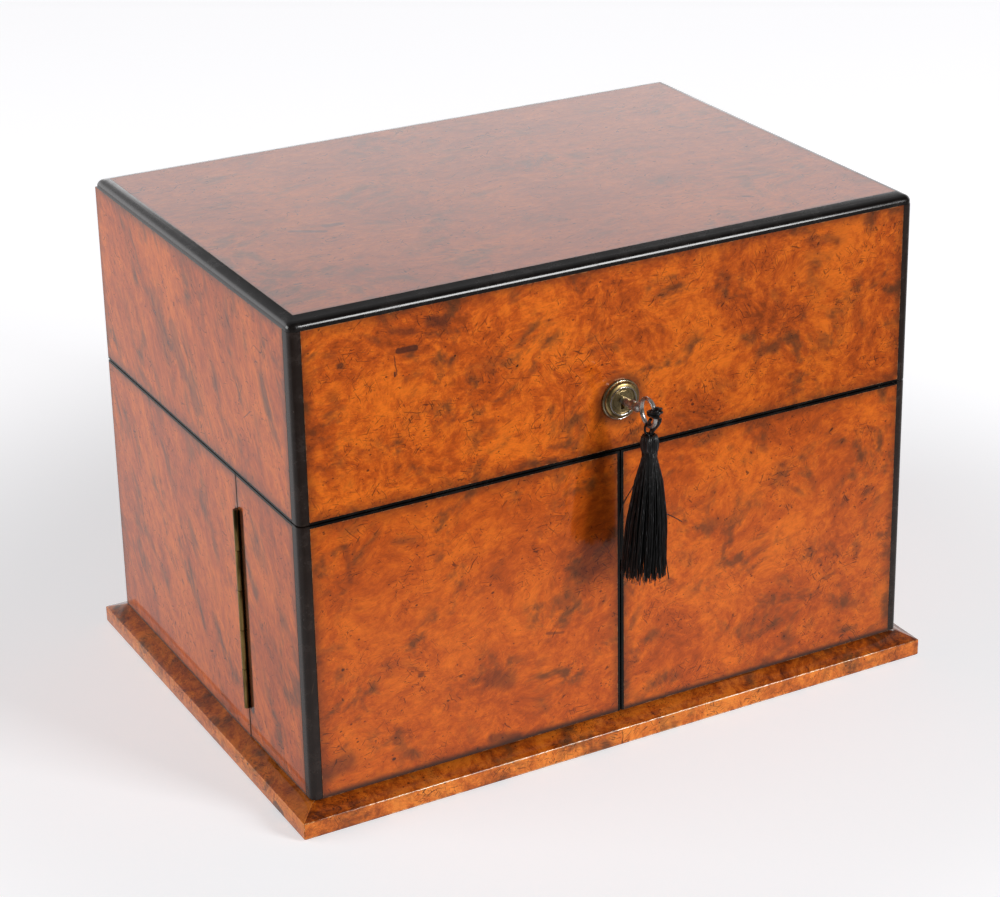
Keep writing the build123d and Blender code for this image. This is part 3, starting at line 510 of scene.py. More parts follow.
def clothMaterial(name, color, deep, weave=0.35, sheen=0.6):
    material, tree, shader = newMaterial(name)
    place = millimetres(tree)
    pile = grain(tree, place, weave, 3, 0.7)[0]
    worn = fade(tree, grain(tree, place, 28, 3)[0], 0.40, 0.68)
    setShader(
        tree, shader,
        Base_Color=mixColor(tree, timesPlus(tree, worn, 0.5, times(tree, pile, 0.5)), color, deep),
        Roughness=0.92, Specular_IOR_Level=0.1, Sheen_Weight=sheen, Sheen_Roughness=0.35,
        Normal=bump(tree, pile, 0.15, 0.6),
    )
    return material


def crystalMaterial(name):
    material, tree, shader = newMaterial(name)
    place = millimetres(tree)
    setShader(
        tree, shader,
        Base_Color=(0.985, 0.99, 0.99, 1), IOR=1.54, Transmission_Weight=1.0,
        Roughness=times(tree, fade(tree, grain(tree, place, 20, 2)[0], 0.5, 0.8), 0.03),
    )
    return material


lidBlotsAndShade = [  # x and z of the middle, turn, half length, radius, rim, depth; all on the front of the lid
    (-112.4, 233.8, 1, 4.2, 1.15, 0.8, 0.80),
    (-96.7, 244.4, 10, 3.5, 1.3, 3.4, 0.72),
    (-114.0, 242.8, 15, 6.0, 0.5, 2.6, 0.45),
    (-145.8, 232.7, 0, 0.4, 0.7, 1.9, 0.80),
    (-118.3, 227.0, 84, 4.6, 0.12, 0.35, 0.75),
    (-118.9, 222.8, 84, 0.7, 0.35, 0.5, 0.85),
    (-30.8, 184.5, 88, 7.6, 0.06, 0.25, 0.55),
    (-18.0, 172.0, 70, 4.6, 0.06, 0.25, 0.55),
    (-10.6, 214.0, 60, 9.0, 0.08, 0.30, 0.50),
    # painted shade, with some dirt: a dark halo round the rosette
    (-0.3, 184.2, 0, 0.2, 10.4, 6.5, 0.66),
]
doorBlots = [  # on the front of the left door
    (-151.1, 80.4, 0, 0.3, 0.35, 0.7, 0.85),
    (-126.6, 25.2, 0, 0.2, 0.55, 0.6, 0.90),
    (-110.7, 66.3, 0, 0.4, 0.6, 1.4, 0.65),
    (-37.4, 68.8, 12, 4.5, 0.25, 0.9, 0.55),
    (-66.2, 18.8, 14, 7.0, 1.2, 3.2, 0.62),
    (-155.5, 30.0, -20, 4.5, 2.2, 6.0, 0.58),
    (-146.0, 134.0, 85, 9.0, 0.3, 2.2, 0.40),
    (-68.3, 51.6, 20, 5.0, 2.2, 5.0, 0.50),
]
topBlots = [  # x and y on the top
    (-112.0, -14.2, 32, 8.0, 0.7, 1.6, 0.60),
    (-97.5, -11.8, 5, 3.5, 1.1, 1.8, 0.60),
    (-53.7, 35.9, 30, 0.9, 0.25, 0.3, 0.90),
    (-128.3, -73.0, 25, 1.4, 0.25, 0.3, 0.85),
    (-146.0, -77.5, 0, 1.6, 0.2, 0.5, 0.70),
    (-48.3, 55.2, 0, 0.3, 0.3, 0.3, 0.85),
    (-161.9, 83.6, 0, 2.2, 0.25, 0.4, 0.85),
    (-57.3, 58.8, 0, 1.2, 0.15, 0.3, 0.60),
]
sideBlots = [  # y and z on the left of the lid
    (17.1, 198.3, -60, 11.0, 3.6, 3.0, 0.42),
    (0.0, 181.3, -70, 7.0, 3.0, 3.0, 0.42),
    (37.1, 202.0, -60, 9.0, 4.0, 8.0, 0.30),
    (-34.8, 180.4, -60, 7.0, 0.5, 3.5, 0.25),
    (-59.3, 203.0, 62, 5.6, 0.10, 0.25, 0.70),
    (-66.2, 194.9, 38, 5.2, 0.10, 0.25, 0.70),
]
hingeShadeAndDirt = [  # y and z beside the long hinge: painted shade along its knuckles, and packed dirt
    (-51.6, 85.2, 90, 53.2, 1.6, 2.0, 0.93),
    (-45.0, 85.2, 90, 53.6, 0.15, 1.2, 0.70),
    (-47.6, 149.0, 90, 8.0, 0.1, 1.8, 0.45),
    (-47.6, 22.0, 90, 7.0, 0.1, 1.8, 0.50),
    (-55.0, 29.0, -38, 6.0, 0.4, 3.0, 0.45),
]
chipBlots = [  # y and z on the left rail, where bits of veneer have come off its lower edge
    (-98.6, 1.0, -14, 3.0, 3.7, 0.35, 0.74),
    (-129.4, 4.6, 90, 3.2, 0.25, 0.35, 0.75),
    (-105.6, 0.2, 0, 1.0, 1.5, 0.3, 0.70),
    (-112.5, 0.0, 0, 2.2, 0.9, 0.3, 0.80),
    (-64.0, 0.0, 0, 4.0, 0.7, 0.5, 0.60),
    (-20.0, 1.0, 12, 5.0, 1.0, 2.0, 0.45),
]
crackBlots = [  # x and z on the front rail
    (-114.4, 9.4, -42, 2.2, 0.10, 0.35, 0.85),
    (-111.2, 6.6, -20, 2.6, 0.08, 0.30, 0.80),
    (-117.4, 7.2, 20, 1.8, 0.06, 0.25, 0.60),
    (-106.6, 7.4, 14, 1.6, 0.06, 0.25, 0.60),
    (-62.0, 5.0, 8, 2.2, 0.08, 0.4, 0.60),
]
frontVeneer = veneerMaterial(
    "lidFrontVeneer", contrast=1.2, fibre=0.5, knots=1.2, hairs=0.72,
    shade=(-60.0, 120.0, 0.84), blotsAndShade=lidBlotsAndShade,
)
doorVeneer = veneerMaterial(
    "leftDoorVeneer", contrast=0.8, clouds=0.85, fibre=0.42, hairs=0.74, foot=4.2, blotsAndShade=doorBlots
)
otherDoorVeneer = veneerMaterial(
    "rightDoorVeneer", contrast=0.85, clouds=0.8, fibre=0.42, hairs=0.735, foot=3.6,
    shade=(0.0, 150.0, 0.90),
)
hingedVeneer = veneerMaterial(
    "hingedVeneer", contrast=0.8, clouds=0.8, fibre=0.4, knots=0.8, foot=2.0, blotsAndShade=hingeShadeAndDirt
)
topVeneer = veneerMaterial(
    "topVeneer", contrast=0.6, clouds=0.6, fibre=0.4, knots=0.6, hairs=0.79, grimeAndShade=3.0, blotsAndShade=topBlots
)
sideVeneer = veneerMaterial("sideVeneer", contrast=0.8, clouds=0.8, fibre=0.4, knots=0.7, blotsAndShade=sideBlots)
lidVeneer = veneerMaterial("lidVeneer", contrast=0.9, clouds=0.8, fibre=0.5)
veneer = veneerMaterial("burrVeneer", contrast=0.9, clouds=0.8, fibre=0.5, foot=2.0)
ebony = ebonisedMaterial("ebonised", (0.018, 0.0115, 0.0092, 1), (0.034, 0.0235, 0.0195, 1))
mouldEbony = ebonisedMaterial(
    "ebonisedMoulding", (0.006, 0.0046, 0.0040, 1), (0.016, 0.0125, 0.0110, 1), polish=0.50
)
lipEbony = ebonisedMaterial(
    "ebonisedLipping", (0.0030, 0.0025, 0.0023, 1), (0.0085, 0.0075, 0.0070, 1), polish=0.10
)
caseWood = plainWood("caseWood", (0.20, 0.075, 0.028, 1), (0.085, 0.027, 0.010, 1))
hingeShadowWood = plainWood("hingeShadowWood", (0.012, 0.006, 0.003, 1), (0.006, 0.003, 0.002, 1), roughness=0.7)
fittingWood = plainWood("fittingWood", (0.26, 0.10, 0.04, 1), (0.12, 0.042, 0.016, 1))
brass = brassMaterial("agedBrass")
ringBrass = brassMaterial("ringBrass", age=0.85, clean=(0.48, 0.35, 0.15, 1), old=(0.12, 0.085, 0.035, 1))
discBrass = brassMaterial("discBrass", age=0.9, clean=(0.50, 0.38, 0.19, 1), old=(0.18, 0.125, 0.058, 1))
hingeBrass = brassMaterial(
    "hingeBrass", age=1.0, clean=(0.34, 0.23, 0.08, 1), old=(0.035, 0.026, 0.011, 1),
    streak=(1.6, 1.6, 0.12),
)
steel = steelMaterial("wornSteel")
keySteel = steelMaterial(
    "keySteel", (0.56, 0.54, 0.51, 1), (0.17, 0.150, 0.130, 1), roughness=0.24, bright=0.72
)
silk = silkMaterial("blackSilk")
baize = clothMaterial("greenBaize", (0.018, 0.075, 0.035, 1), (0.010, 0.045, 0.022, 1))
velvet = clothMaterial("liningVelvet", (0.055, 0.012, 0.016, 1), (0.028, 0.006, 0.009, 1), sheen=0.35)
crystal = crystalMaterial("cutGlass")
print("materials:", len(bpy.data.materials))


# Mesh helpers
def copyOf(node):  # a CAD node's mesh with its loose triangles joined and its flat faces whole
    bm = bmesh.new()
    bm.from_mesh(nodes[node].data)
    bmesh.ops.remove_doubles(bm, verts=bm.verts, dist=2e-6)
    bmesh.ops.dissolve_limit(
        bm, angle_limit=math.radians(0.6), verts=bm.verts, edges=bm.edges, use_dissolve_boundaries=False
    )
    return bm


def soften(bm, width, segments=2, test=lambda edge: True, sharp=30.0):  # width in millimetres
    edges = [
        e for e in bm.edges
        if len(e.link_faces) == 2 and e.calc_face_angle(0) > math.radians(sharp) and test(e)
    ]
    bmesh.ops.bevel(
        bm, geom=edges, offset=width * mm, segments=segments, profile=0.5,
        affect="EDGES", material=-1, clamp_overlap=True,
    )


def finishPiece(name, bm, materials, replaced=(), body=None, sharp=25.0):
    mesh = bpy.data.meshes.new(name)
    bm.to_mesh(mesh)
    bm.free()
    for material in materials:
        mesh.materials.append(material)
    for polygon in mesh.polygons:
        polygon.use_smooth = True
    mesh.set_sharp_from_angle(angle=math.radians(sharp))
    piece = bpy.data.objects.new(name, mesh)
    bpy.context.scene.collection.objects.link(piece)
    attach(piece, body or bodyOf[replaced[0]])
    if replaced:
        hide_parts(*replaced)
    return piece


def planes(bm, axis, values):  # cuts the mesh across one axis at these places, in metres
    normal = [0, 0, 0]
    normal[axis] = 1
    for value in values:
        point = [0, 0, 0]
        point[axis] = value
        bmesh.ops.bisect_plane(
            bm, geom=bm.verts[:] + bm.edges[:] + bm.faces[:], dist=1e-7, plane_co=point, plane_no=normal
        )


def evenly(low, high, step):  # places between two ends in metres, about a step in millimetres apart
    count = int((high - low) / (step * mm))
    return [low + (high - low) * k / count for k in range(1, count)]


seedOffset = (131.7, 57.3, 23.9)  # millimetres that one step of a seed moves the figure


def panelData(piece, low, high, axes, turn, seed, squeeze=(1.0, 1.0), border=None):
    # figure: the point in the panel's own millimetres, turned in its plane
    # edge: millimetres to its border
    # spot: the two coordinates in the panel's plane, unturned, and the height above its foot
    mesh = piece.data
    through = 3 - axes[0] - axes[1]
    c, s = math.cos(turn), math.sin(turn)
    figure, edge, spot = [], [], []
    for vertex in mesh.vertices:
        u, v, w = (vertex.co[a] / mm for a in (*axes, through))
        laid = ((c * u + s * v) * squeeze[0], (c * v - s * u) * squeeze[1], w)
        figure += [value + seed * offset for value, offset in zip(laid, seedOffset)]
        spot += [u, v, (vertex.co.z - low.z) / mm]
        edge.append(border or min(min(vertex.co[a] - low[a], high[a] - vertex.co[a]) for a in axes) / mm)
    mesh.attributes.new("figure", "FLOAT_VECTOR", "POINT").data.foreach_set("vector", figure)
    mesh.attributes.new("edge", "FLOAT", "POINT").data.foreach_set("value", edge)
    mesh.attributes.new("spot", "FLOAT_VECTOR", "POINT").data.foreach_set("vector", spot)


veneerPanels = {
    # node: outward axis and side, turn of the figure in its plane, seed, material, squeeze along and across
    "lid_front": (1, -1, 0.15, 1.0, frontVeneer, (1.0, 1.1)),
    "lid_back": (1, 1, 0.1, 2.0, lidVeneer, (1.0, 1.1)),
    "lid_left": (0, -1, 1.02, 3.0, sideVeneer, (0.6, 1.25)),
    "lid_right": (0, 1, 1.1, 4.0, lidVeneer, (0.6, 1.25)),
    "lid_top": (2, 1, 0.05, 5.0, topVeneer, (0.7, 0.9)),
    "door_left_front": (1, -1, 0.25, 6.0, doorVeneer, (0.9, 1.1)),
    "door_right_front": (1, -1, 0.4, 7.0, otherDoorVeneer, (1.0, 1.1)),
    "door_left_side": (0, -1, 1.05, 8.0, hingedVeneer, (0.6, 1.25)),
    "door_right_side": (0, 1, 1.2, 9.0, hingedVeneer, (0.6, 1.25)),
    "case_left": (0, -1, 1.05, 8.3, hingedVeneer, (0.6, 1.25)),
    "case_right": (0, 1, 1.2, 9.3, hingedVeneer, (0.6, 1.25)),
    "case_back": (1, 1, 0.2, 10.0, veneer, (1.0, 1.1)),
}
panel = {
    "arris": 0.22, "bareFrom": -60.0, "bareTo": -30.0,  # y between which a side's arris shows at the hinge
    "bands": (0.5, 1.5, 4.0, 10.0),  # millimetres in from the border, where the edge distance is held
    "shadeReach": 3.5, "shadeOut": 165.5,  # painted shade: dark wood either side of the long hinge's pin, from this x out
}
pinLow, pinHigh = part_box("door_hinge_right_pin")
hingeAxis = (pinLow + pinHigh) / 2


def dressPanel(node, axis, side, turn, seed, skin, squeeze):
    low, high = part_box(node)
    bm = copyOf(node)
    outer = high[axis] if side > 0 else low[axis]

    def isBare(edge):  # on the face, and not hidden by a post, a moulding or the next panel
        return axis != 2 and all(
            abs(v.co[axis] - outer) < 0.05 * mm and panel["bareFrom"] * mm < v.co.y
            and (axis == 1 or v.co.y < panel["bareTo"] * mm)
            for v in edge.verts
        )

    soften(bm, panel["arris"], 2, isBare)
    axes = [a for a in (0, 1, 2) if a != axis]
    for a in axes:
        planes(bm, a, [low[a] + b * mm for b in panel["bands"]] + [high[a] - b * mm for b in panel["bands"]])
    hinged = "side" in node or node in ("case_left", "case_right")
    for face in bm.faces:
        outward = face.normal[axis] * side > 0.5
        middle = face.calc_center_median()
        face.material_index = 0 if outward and abs(middle[axis] - outer) < 0.5 * mm else 1
        # painted shade: dark wood in the hinge's recess, beside its pin
        if hinged and face.material_index and abs(middle.y - hingeAxis.y) < panel["shadeReach"] * mm:
            if abs(middle.x) > panel["shadeOut"] * mm:
                face.material_index = 2
    piece = finishPiece(node + "_board", bm, [skin, caseWood, hingeShadowWood], [node])
    panelData(piece, low, high, axes, turn, seed, squeeze)


for node, setting in veneerPanels.items():
    dressPanel(node, *setting)

plinthTones = dict(
    veneerTones, amber=(0.88, 0.27, 0.035, 1), russet=(0.66, 0.155, 0.016, 1), umber=(0.30, 0.06, 0.008, 1)
)
# painted shade: darker tones for the up-facing ledges of the plinth rails
shadedLedgeTones = dict(
    veneerTones, amber=(0.60, 0.15, 0.012, 1), russet=(0.38, 0.070, 0.005, 1), umber=(0.10, 0.018, 0.003, 1)
)
rubbedAndHighlitTones = dict(
    plinthTones, amber=(0.84, 0.55, 0.31, 1), russet=(0.56, 0.22, 0.06, 1), umber=(0.25, 0.06, 0.01, 1)
)
railLook = {"contrast": 1.3, "clouds": 0.9, "knots": 1.2, "hairs": 0.72, "tones": plinthTones}
plinthVeneer = veneerMaterial("plinthVeneer", **railLook)
frontRail = veneerMaterial("frontRail", **railLook, blotsAndShade=crackBlots)
leftRail = veneerMaterial("leftRail", **railLook, blotsAndShade=chipBlots)
shadedLedgeVeneer = veneerMaterial(
    "shadedLedgeVeneer", contrast=1.45, clouds=1.0, knots=1.4, hairs=0.72, tones=shadedLedgeTones
)
rubbedAndHighlitArris = veneerMaterial("rubbedAndHighlitArris", contrast=3.2, clouds=0.5, knots=0.8, tones=rubbedAndHighlitTones)
plinthRails = {
    # node: outward axis, seed, material
    "plinth_front": (1, 11.0, frontRail), "plinth_rear": (1, 12.0, plinthVeneer),
    "plinth_left": (0, 13.0, leftRail), "plinth_right": (0, 14.0, plinthVeneer),
}
rail = {"arris": 0.32, "rough": 0.10, "step": 9.0, "turn": 0.05, "edge": 50.0}  # the arrises are rubbed pale; on the front rail that pale colour is partly a painted highlight


def dressRail(node, axis, seed, skin):
    low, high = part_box(node)
    bm = copyOf(node)
    flats = [face.normal.copy() for face in bm.faces]
    along = 1 - axis
    soften(bm, rail["arris"], 2)
    planes(bm, along, evenly(low[along], high[along], rail["step"]))
    chance = random.Random(int(seed))
    for v in bm.verts:  # the rubbed arrises wander a little
        if v.co.z > 2 * mm and abs(v.co[axis]) < max(abs(low[axis]), abs(high[axis])) - 0.4 * mm:
            v.co.z += chance.uniform(-1, 0) * rail["rough"] * mm
    for face in bm.faces:
        flat = any(face.normal.dot(flat) > 0.995 for flat in flats)
        mitred = abs(abs(face.normal.x) - abs(face.normal.y)) < 0.5 and abs(face.normal.x) > 0.3
        # the front rail's arrises: rubbed pale wood, partly a painted highlight
        face.material_index = 0 if flat or mitred or node != "plinth_front" else 1
        # painted shade: the up-facing faces take the darker ledge veneer
        if face.normal.z > 0.3 and (flat or mitred):
            face.material_index = 2
    piece = finishPiece(node + "_rail", bm, [skin, rubbedAndHighlitArris, shadedLedgeVeneer], [node])
    axes = [a for a in (0, 1, 2) if a != axis]
    panelData(piece, low, high, axes, rail["turn"], seed, border=rail["edge"])


for node, setting in plinthRails.items():
    dressRail(node, *setting)
print("veneered panels:", len(veneerPanels), "and", len(plinthRails), "rails")

# Ebonised mouldings
moulding = {"cornerRadius": 3.95, "rimRadius": 3.9, "segments": 8, "slope": 0.30, "flat": 3.2}
post = {"radius": 3.4, "segments": 8, "nick": 0.25}
lipping = {"arris": 0.12, "segments": 1}


def blockMesh(low, high):
    bm = bmesh.new()
    bmesh.ops.create_cube(bm, size=1.0)
    for v in bm.verts:
        v.co = Vector(high[a] if v.co[a] > 0 else low[a] for a in (0, 1, 2))
    return bm


def roundEdges(bm, edges, radius, segments):
    return bmesh.ops.bevel(
        bm, geom=edges, offset=radius * mm, segments=segments, profile=0.5, affect="EDGES", material=-1
    )


def makeTopMoulding():
    low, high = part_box("lid_top_moulding")
    panelLow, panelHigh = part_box("lid_top")
    bm = blockMesh(low, high)
    upright = [e for e in bm.edges if abs(e.verts[0].co.z - e.verts[1].co.z) > 1 * mm]
    roundEdges(bm, upright, moulding["cornerRadius"], moulding["segments"])
    top = max(bm.faces, key=lambda f: f.calc_center_median().z)
    roundEdges(bm, list(top.edges), moulding["rimRadius"], moulding["segments"])
    for axis in (0, 1):
        planes(bm, axis, (panelLow[axis], panelHigh[axis]))
    inside = [
        f for f in bm.faces
        if abs(f.normal.z) > 0.99
        and all(panelLow[a] < f.calc_center_median()[a] < panelHigh[a] for a in (0, 1))
    ]
    bmesh.ops.delete(bm, geom=inside, context="FACES_ONLY")
    bmesh.ops.bridge_loops(bm, edges=[e for e in bm.edges if len(e.link_faces) == 1])
    bmesh.ops.recalc_face_normals(bm, faces=bm.faces)
    for v in bm.verts:  # the flat falls away from the top board
        away = max(max(panelLow[a] - v.co[a], v.co[a] - panelHigh[a]) for a in (0, 1))
        share = (v.co.z - low.z) / (high.z - low.z)
        v.co.z -= moulding["slope"] * max(0.0, min(away, moulding["flat"] * mm)) * share
    return finishPiece("top_moulding", bm, [mouldEbony], ["lid_top_moulding"], sharp=32)


def makePost(node):
    low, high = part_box(node)
    bm = blockMesh(low, high)
    x = high.x if high.x > 0 else low.x
    arris = [
        e for e in bm.edges
        if all(abs(v.co.x - x) < 1e-6 and abs(v.co.y - low.y) < 1e-6 for v in e.verts)
    ]
    roundEdges(bm, arris, post["radius"], post["segments"])
    soften(bm, post["nick"], 1, sharp=60)
    return finishPiece(node + "_post", bm, [ebony], [node], sharp=32)


makeTopMoulding()
for node in [n for n in nodes if n.endswith("corner_post")]:
    makePost(node)
for node in ("lid_lipping", "case_lipping", "door_left_lipping", "door_right_lipping"):
    bm = copyOf(node)
    soften(bm, lipping["arris"], lipping["segments"])
    finishPiece(node + "_strip", bm, [lipEbony], [node])
print("ebonised trim done")


# Lock: a turned rosette with painted highlights on its beads, the barrel's flat face and an old steel key
def arc(centre, size, turns, count):  # points of a curved profile: radius and way out, in millimetres
    steps = [math.radians(turns[0] + (turns[1] - turns[0]) * k / count) for k in range(count + 1)]
    return [(centre[0] + size[0] * math.cos(t), centre[1] + size[1] * math.sin(t)) for t in steps]


def turned(profile, centre, axis, steps=72):  # profile: radius and way along the axis, in millimetres
    bm = bmesh.new()
    way = Vector(axis)
    side = Vector((1, 0, 0))
    points = [
        bm.verts.new((Vector(centre) + way * along + side * radius) * mm) for radius, along in profile
    ]
    edges = [bm.edges.new(pair) for pair in zip(points, points[1:])]
    bmesh.ops.spin(
        bm, geom=points + edges, cent=Vector(centre) * mm, axis=way, dvec=(0, 0, 0),
        angle=2 * math.pi, steps=steps, use_merge=True, use_duplicate=False,
    )
    bmesh.ops.remove_doubles(bm, verts=bm.verts, dist=1e-6)
    bmesh.ops.recalc_face_normals(bm, faces=bm.faces)
    return bm


def joinInto(bm, other):
    spare = bpy.data.meshes.new("spare")
    other.to_mesh(spare)
    other.free()
    bm.from_mesh(spare)
    bpy.data.meshes.remove(spare)


rosetteLow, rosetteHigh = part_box("lock_rosette")
lockCentre = (0.0, rosetteHigh.y / mm, (rosetteLow.z + rosetteHigh.z) / 2 / mm)  # on the front of the lid
lock = {"bore": 5.08, "disc": 2.3, "steps": 96, "barrelArris": 0.12}
rosetteProfile = (
    [(lock["bore"], 0.0), (lock["bore"], lock["disc"] - 0.12), (lock["bore"] + 0.12, lock["disc"])]
    + [(6.72, lock["disc"]), (6.80, lock["disc"] + 0.10)]
    + arc((7.10, 3.15), (0.30, 0.27), (180, 0), 6)
    + [(7.42, 3.00)]
    + arc((7.45, 1.35), (1.85, 1.62), (88, 4), 9)
    + [(9.42, 1.16), (9.60, 1.12)]
    + arc((9.78, 1.12), (0.13, 0.14), (165, 15), 4)
    + arc((9.75, 0.60), (0.55, 0.50), (50, 0), 4)
    + [(10.32, 0.0), (lock["bore"], 0.0)]
)


def makeRosette():
    bm = turned(rosetteProfile, lockCentre, (0, -1, 0), lock["steps"])
    middle = Vector(lockCentre) * mm
    for face in bm.faces:
        away = face.calc_center_median() - middle
        radius = math.hypot(away.x, away.z) / mm
        if 6.78 < radius < 7.44 or 9.68 < radius < 9.90:
            face.material_index = 1  # painted highlight: the beads in bright steel
        elif 7.44 <= radius < 9.3:
            face.material_index = 0
        else:
            face.material_index = 2
    return finishPiece("rosette", bm, [ringBrass, steel, discBrass], ["lock_rosette"], sharp=40)


def makeBarrel():
    bm = copyOf("lock_barrel")
    soften(bm, lock["barrelArris"], 2, sharp=40)
    return finishPiece("barrel", bm, [discBrass], ["lock_barrel"])


makeRosette()
makeBarrel()

key = {
    "bow": (0.0, -144.0, lockCentre[2]), "halfDeep": 6.0, "halfHigh": 7.25, "wire": (1.00, 1.20),
    "lean": 0.09, "tilt": (0.03, 0, 0.075), "ringSteps": 72, "wireSteps": 14, "shankSteps": 48,
    "inside": -8.9, "bitLow": 180.5, "bitHigh": 184.2, "bitLength": 5.0, "bitWide": 1.2, "arris": 0.12,
}
shankProfile = [  # radius and way out from the front of the lid: the shank, its ring and the baluster
    (0.0, key["inside"]), (1.35, key["inside"]), (1.7, key["inside"] + 0.35),
    (1.7, 2.6), (1.95, 2.8), (1.95, 5.2),
    (2.15, 5.45), (2.2, 6.0), (2.15, 6.55), (1.95, 6.8), (1.95, 9.8),
    (2.35, 10.0), (2.48, 10.3), (2.48, 10.8), (2.30, 11.1), (2.26, 14.4),
    (2.45, 14.7), (2.58, 15.3), (2.45, 16.0), (1.95, 17.1), (1.3, 18.2), (0.0, 18.6),
]


def tilted(place):  # the key sits a little askew in the lock, more so further out
    return Vector(place) + Vector(key["tilt"]) * max(0.0, lockCentre[1] - place[1])


def onBow(along, deep, high):  # a point round the middle of the bow, in its own plane
    return Vector((0, math.cos(along) * deep, math.sin(along) * high))


def bowRing():  # an oval of flattened wire in the YZ plane
    deep, high, wire = key["halfDeep"], key["halfHigh"], key["wire"]
    bm = bmesh.new()
    bmesh.ops.create_circle(bm, cap_ends=False, radius=wire[0] * mm, segments=key["wireSteps"])
    for v in bm.verts:  # the section, in the XY plane, then spun about X
        v.co = Vector((v.co.x * wire[1] / wire[0], v.co.y + deep * mm, 0))
    bmesh.ops.spin(
        bm, geom=bm.verts[:] + bm.edges[:], cent=(0, 0, 0), axis=(1, 0, 0), dvec=(0, 0, 0),
        angle=2 * math.pi, steps=key["ringSteps"], use_merge=True, use_duplicate=False,
    )
    for v in bm.verts:  # round to oval, with the section kept
        turn = math.atan2(v.co.z, v.co.y)
        off = math.hypot(v.co.y, v.co.z) - deep * mm
        place = onBow(turn, deep, high) * mm + onBow(turn, high, deep).normalized() * off
        place.x = v.co.x - place.z * key["lean"]
        v.co = place + Vector(key["bow"]) * mm
    bmesh.ops.remove_doubles(bm, verts=bm.verts, dist=1e-6)
    bmesh.ops.recalc_face_normals(bm, faces=bm.faces)
    return bm


def makeKey():
    bm = turned(shankProfile, lockCentre, (0, -1, 0), key["shankSteps"])
    joinInto(bm, bowRing())
    for v in bm.verts:
        v.co = tilted(v.co / mm) * mm
    low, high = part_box("key")
    bit = blockMesh(
        (-key["bitWide"] / 2 * mm, high.y - key["bitLength"] * mm, key["bitLow"] * mm),
        (key["bitWide"] / 2 * mm, high.y, key["bitHigh"] * mm),
    )
    soften(bit, key["arris"], 2)
    joinInto(bm, bit)
    return finishPiece("steel_key", bm, [keySteel], ["key"], sharp=40)


makeKey()
print("lock and key done")


# Cord and tassel
def strands(paths, thick, rounding=1):  # closed tubes along paths of place and share of thickness
    curve = bpy.data.curves.new("strands", "CURVE")
    curve.dimensions = "3D"
    curve.bevel_depth, curve.bevel_resolution, curve.use_fill_caps = thick / 2 * mm, rounding, True
    for path in paths:
        spline = curve.splines.new("POLY")
        spline.points.add(len(path) - 1)
        for point, (place, share) in zip(spline.points, path):
            point.co = (*(Vector(place) * mm), 1)
            point.radius = share
    holder = bpy.data.objects.new("strands", curve)
    mesh = bpy.data.meshes.new_from_object(holder)
    bpy.data.objects.remove(holder)
    bpy.data.curves.remove(curve)
    bm = bmesh.new()
    bm.from_mesh(mesh)
    bpy.data.meshes.remove(mesh)
    bmesh.ops.remove_doubles(bm, verts=bm.verts, dist=1e-6)
    bmesh.ops.recalc_face_normals(bm, faces=bm.faces)
    return bm


cord = {
    "x": 0.0, "y": -143.4, "loopZ": 178.1, "loopR": 3.0, "loopWide": 0.6, "loopAside": 0.85,
    "ply": 0.78, "lay": 0.34, "twists": 10, "steps": 96,
    "wraps": [  # turns of cord round the bow's wire: from and to along the bow, how many, standoff
        (30.0, -2.0, 3.0, 1.95), (26.0, 4.0, 2.0, 3.25),
    ],
    "falls": [  # the two ends that run down from the knot, past the foot of the bow
        [(3.0, -150.6, 185.4), (3.1, -150.4, 183.8), (2.9, -149.4, 182.0), (2.5, -148.0, 180.2),
         (2.2, -146.4, 178.4), (2.0, -144.9, 176.4), (1.9, -143.9, 173.4)],
        [(-0.9, -148.6, 185.2), (-0.9, -147.0, 183.0), (0.1, -145.6, 181.3), (1.2, -144.9, 180.2),
         (2.1, -144.5, 178.6), (2.1, -144.1, 176.4), (1.9, -143.8, 173.4)],
    ],
    "thickness": 1.35, "fallShare": 1.25, "wrapSteps": 18, "slack": 0.04, "waver": 0.05, "seed": 11,
}


def rounded(points, cuts):  # corners cut, so that a path bends softly
    for _ in range(cuts):
        cut = [points[0]]
        for a, b in zip(points, points[1:]):
            cut += [tuple(p + (q - p) * share for p, q in zip(a, b)) for share in (0.25, 0.75)]
        points = cut + [points[-1]]
    return points


def makeLoop():  # two plies laid round each other
    paths = []
    for ply in (0, 1):
        path = []
        for k in range(cord["steps"] + 1):
            turn = 2 * math.pi * k / cord["steps"]
            lay = turn * cord["twists"] + math.pi * ply
            radius = cord["loopR"] + cord["lay"] * math.cos(lay)
            x = cord["x"] + cord["loopAside"] + radius * cord["loopWide"] * math.sin(turn)
            y = cord["y"] + cord["lay"] * math.sin(lay)
            path.append(((x, y, cord["loopZ"] + radius * math.cos(turn)), 1.0))
        paths.append(path)
    return finishPiece("cord_ring", strands(paths, cord["ply"], 2), [silk], ["cord_loop"], sharp=60)


def makeWraps():
    chance = random.Random(cord["seed"])
    sideways = Vector((1, 0, 0))
    paths = []
    for start, end, turns, standoff in cord["wraps"]:
        count = int(turns * cord["wrapSteps"])
        path = []
        for k in range(count + 1):
            along = math.pi - math.radians(start + (end - start) * k / count)
            turn = 2 * math.pi * turns * k / count
            middle = onBow(along, key["halfDeep"], key["halfHigh"])
            middle.x = -middle.z * key["lean"]
            middle = tilted(middle + Vector(key["bow"]))
            out = onBow(along, key["halfHigh"], key["halfDeep"]).normalized()
            reach = standoff * (1 + cord["waver"] * math.sin(3.1 * turn))
            reach += chance.uniform(-cord["slack"], cord["slack"])
            path.append((middle + (out * math.cos(turn) + sideways * math.sin(turn)) * reach, 1.0))
        paths.append(path)
    for fall in cord["falls"]:
        paths.append([(place, cord["fallShare"]) for place in rounded(fall, 2)])
    mesh = strands(paths, cord["thickness"], 2)
    return finishPiece("bow_wraps", mesh, [silk], body="key", sharp=60)


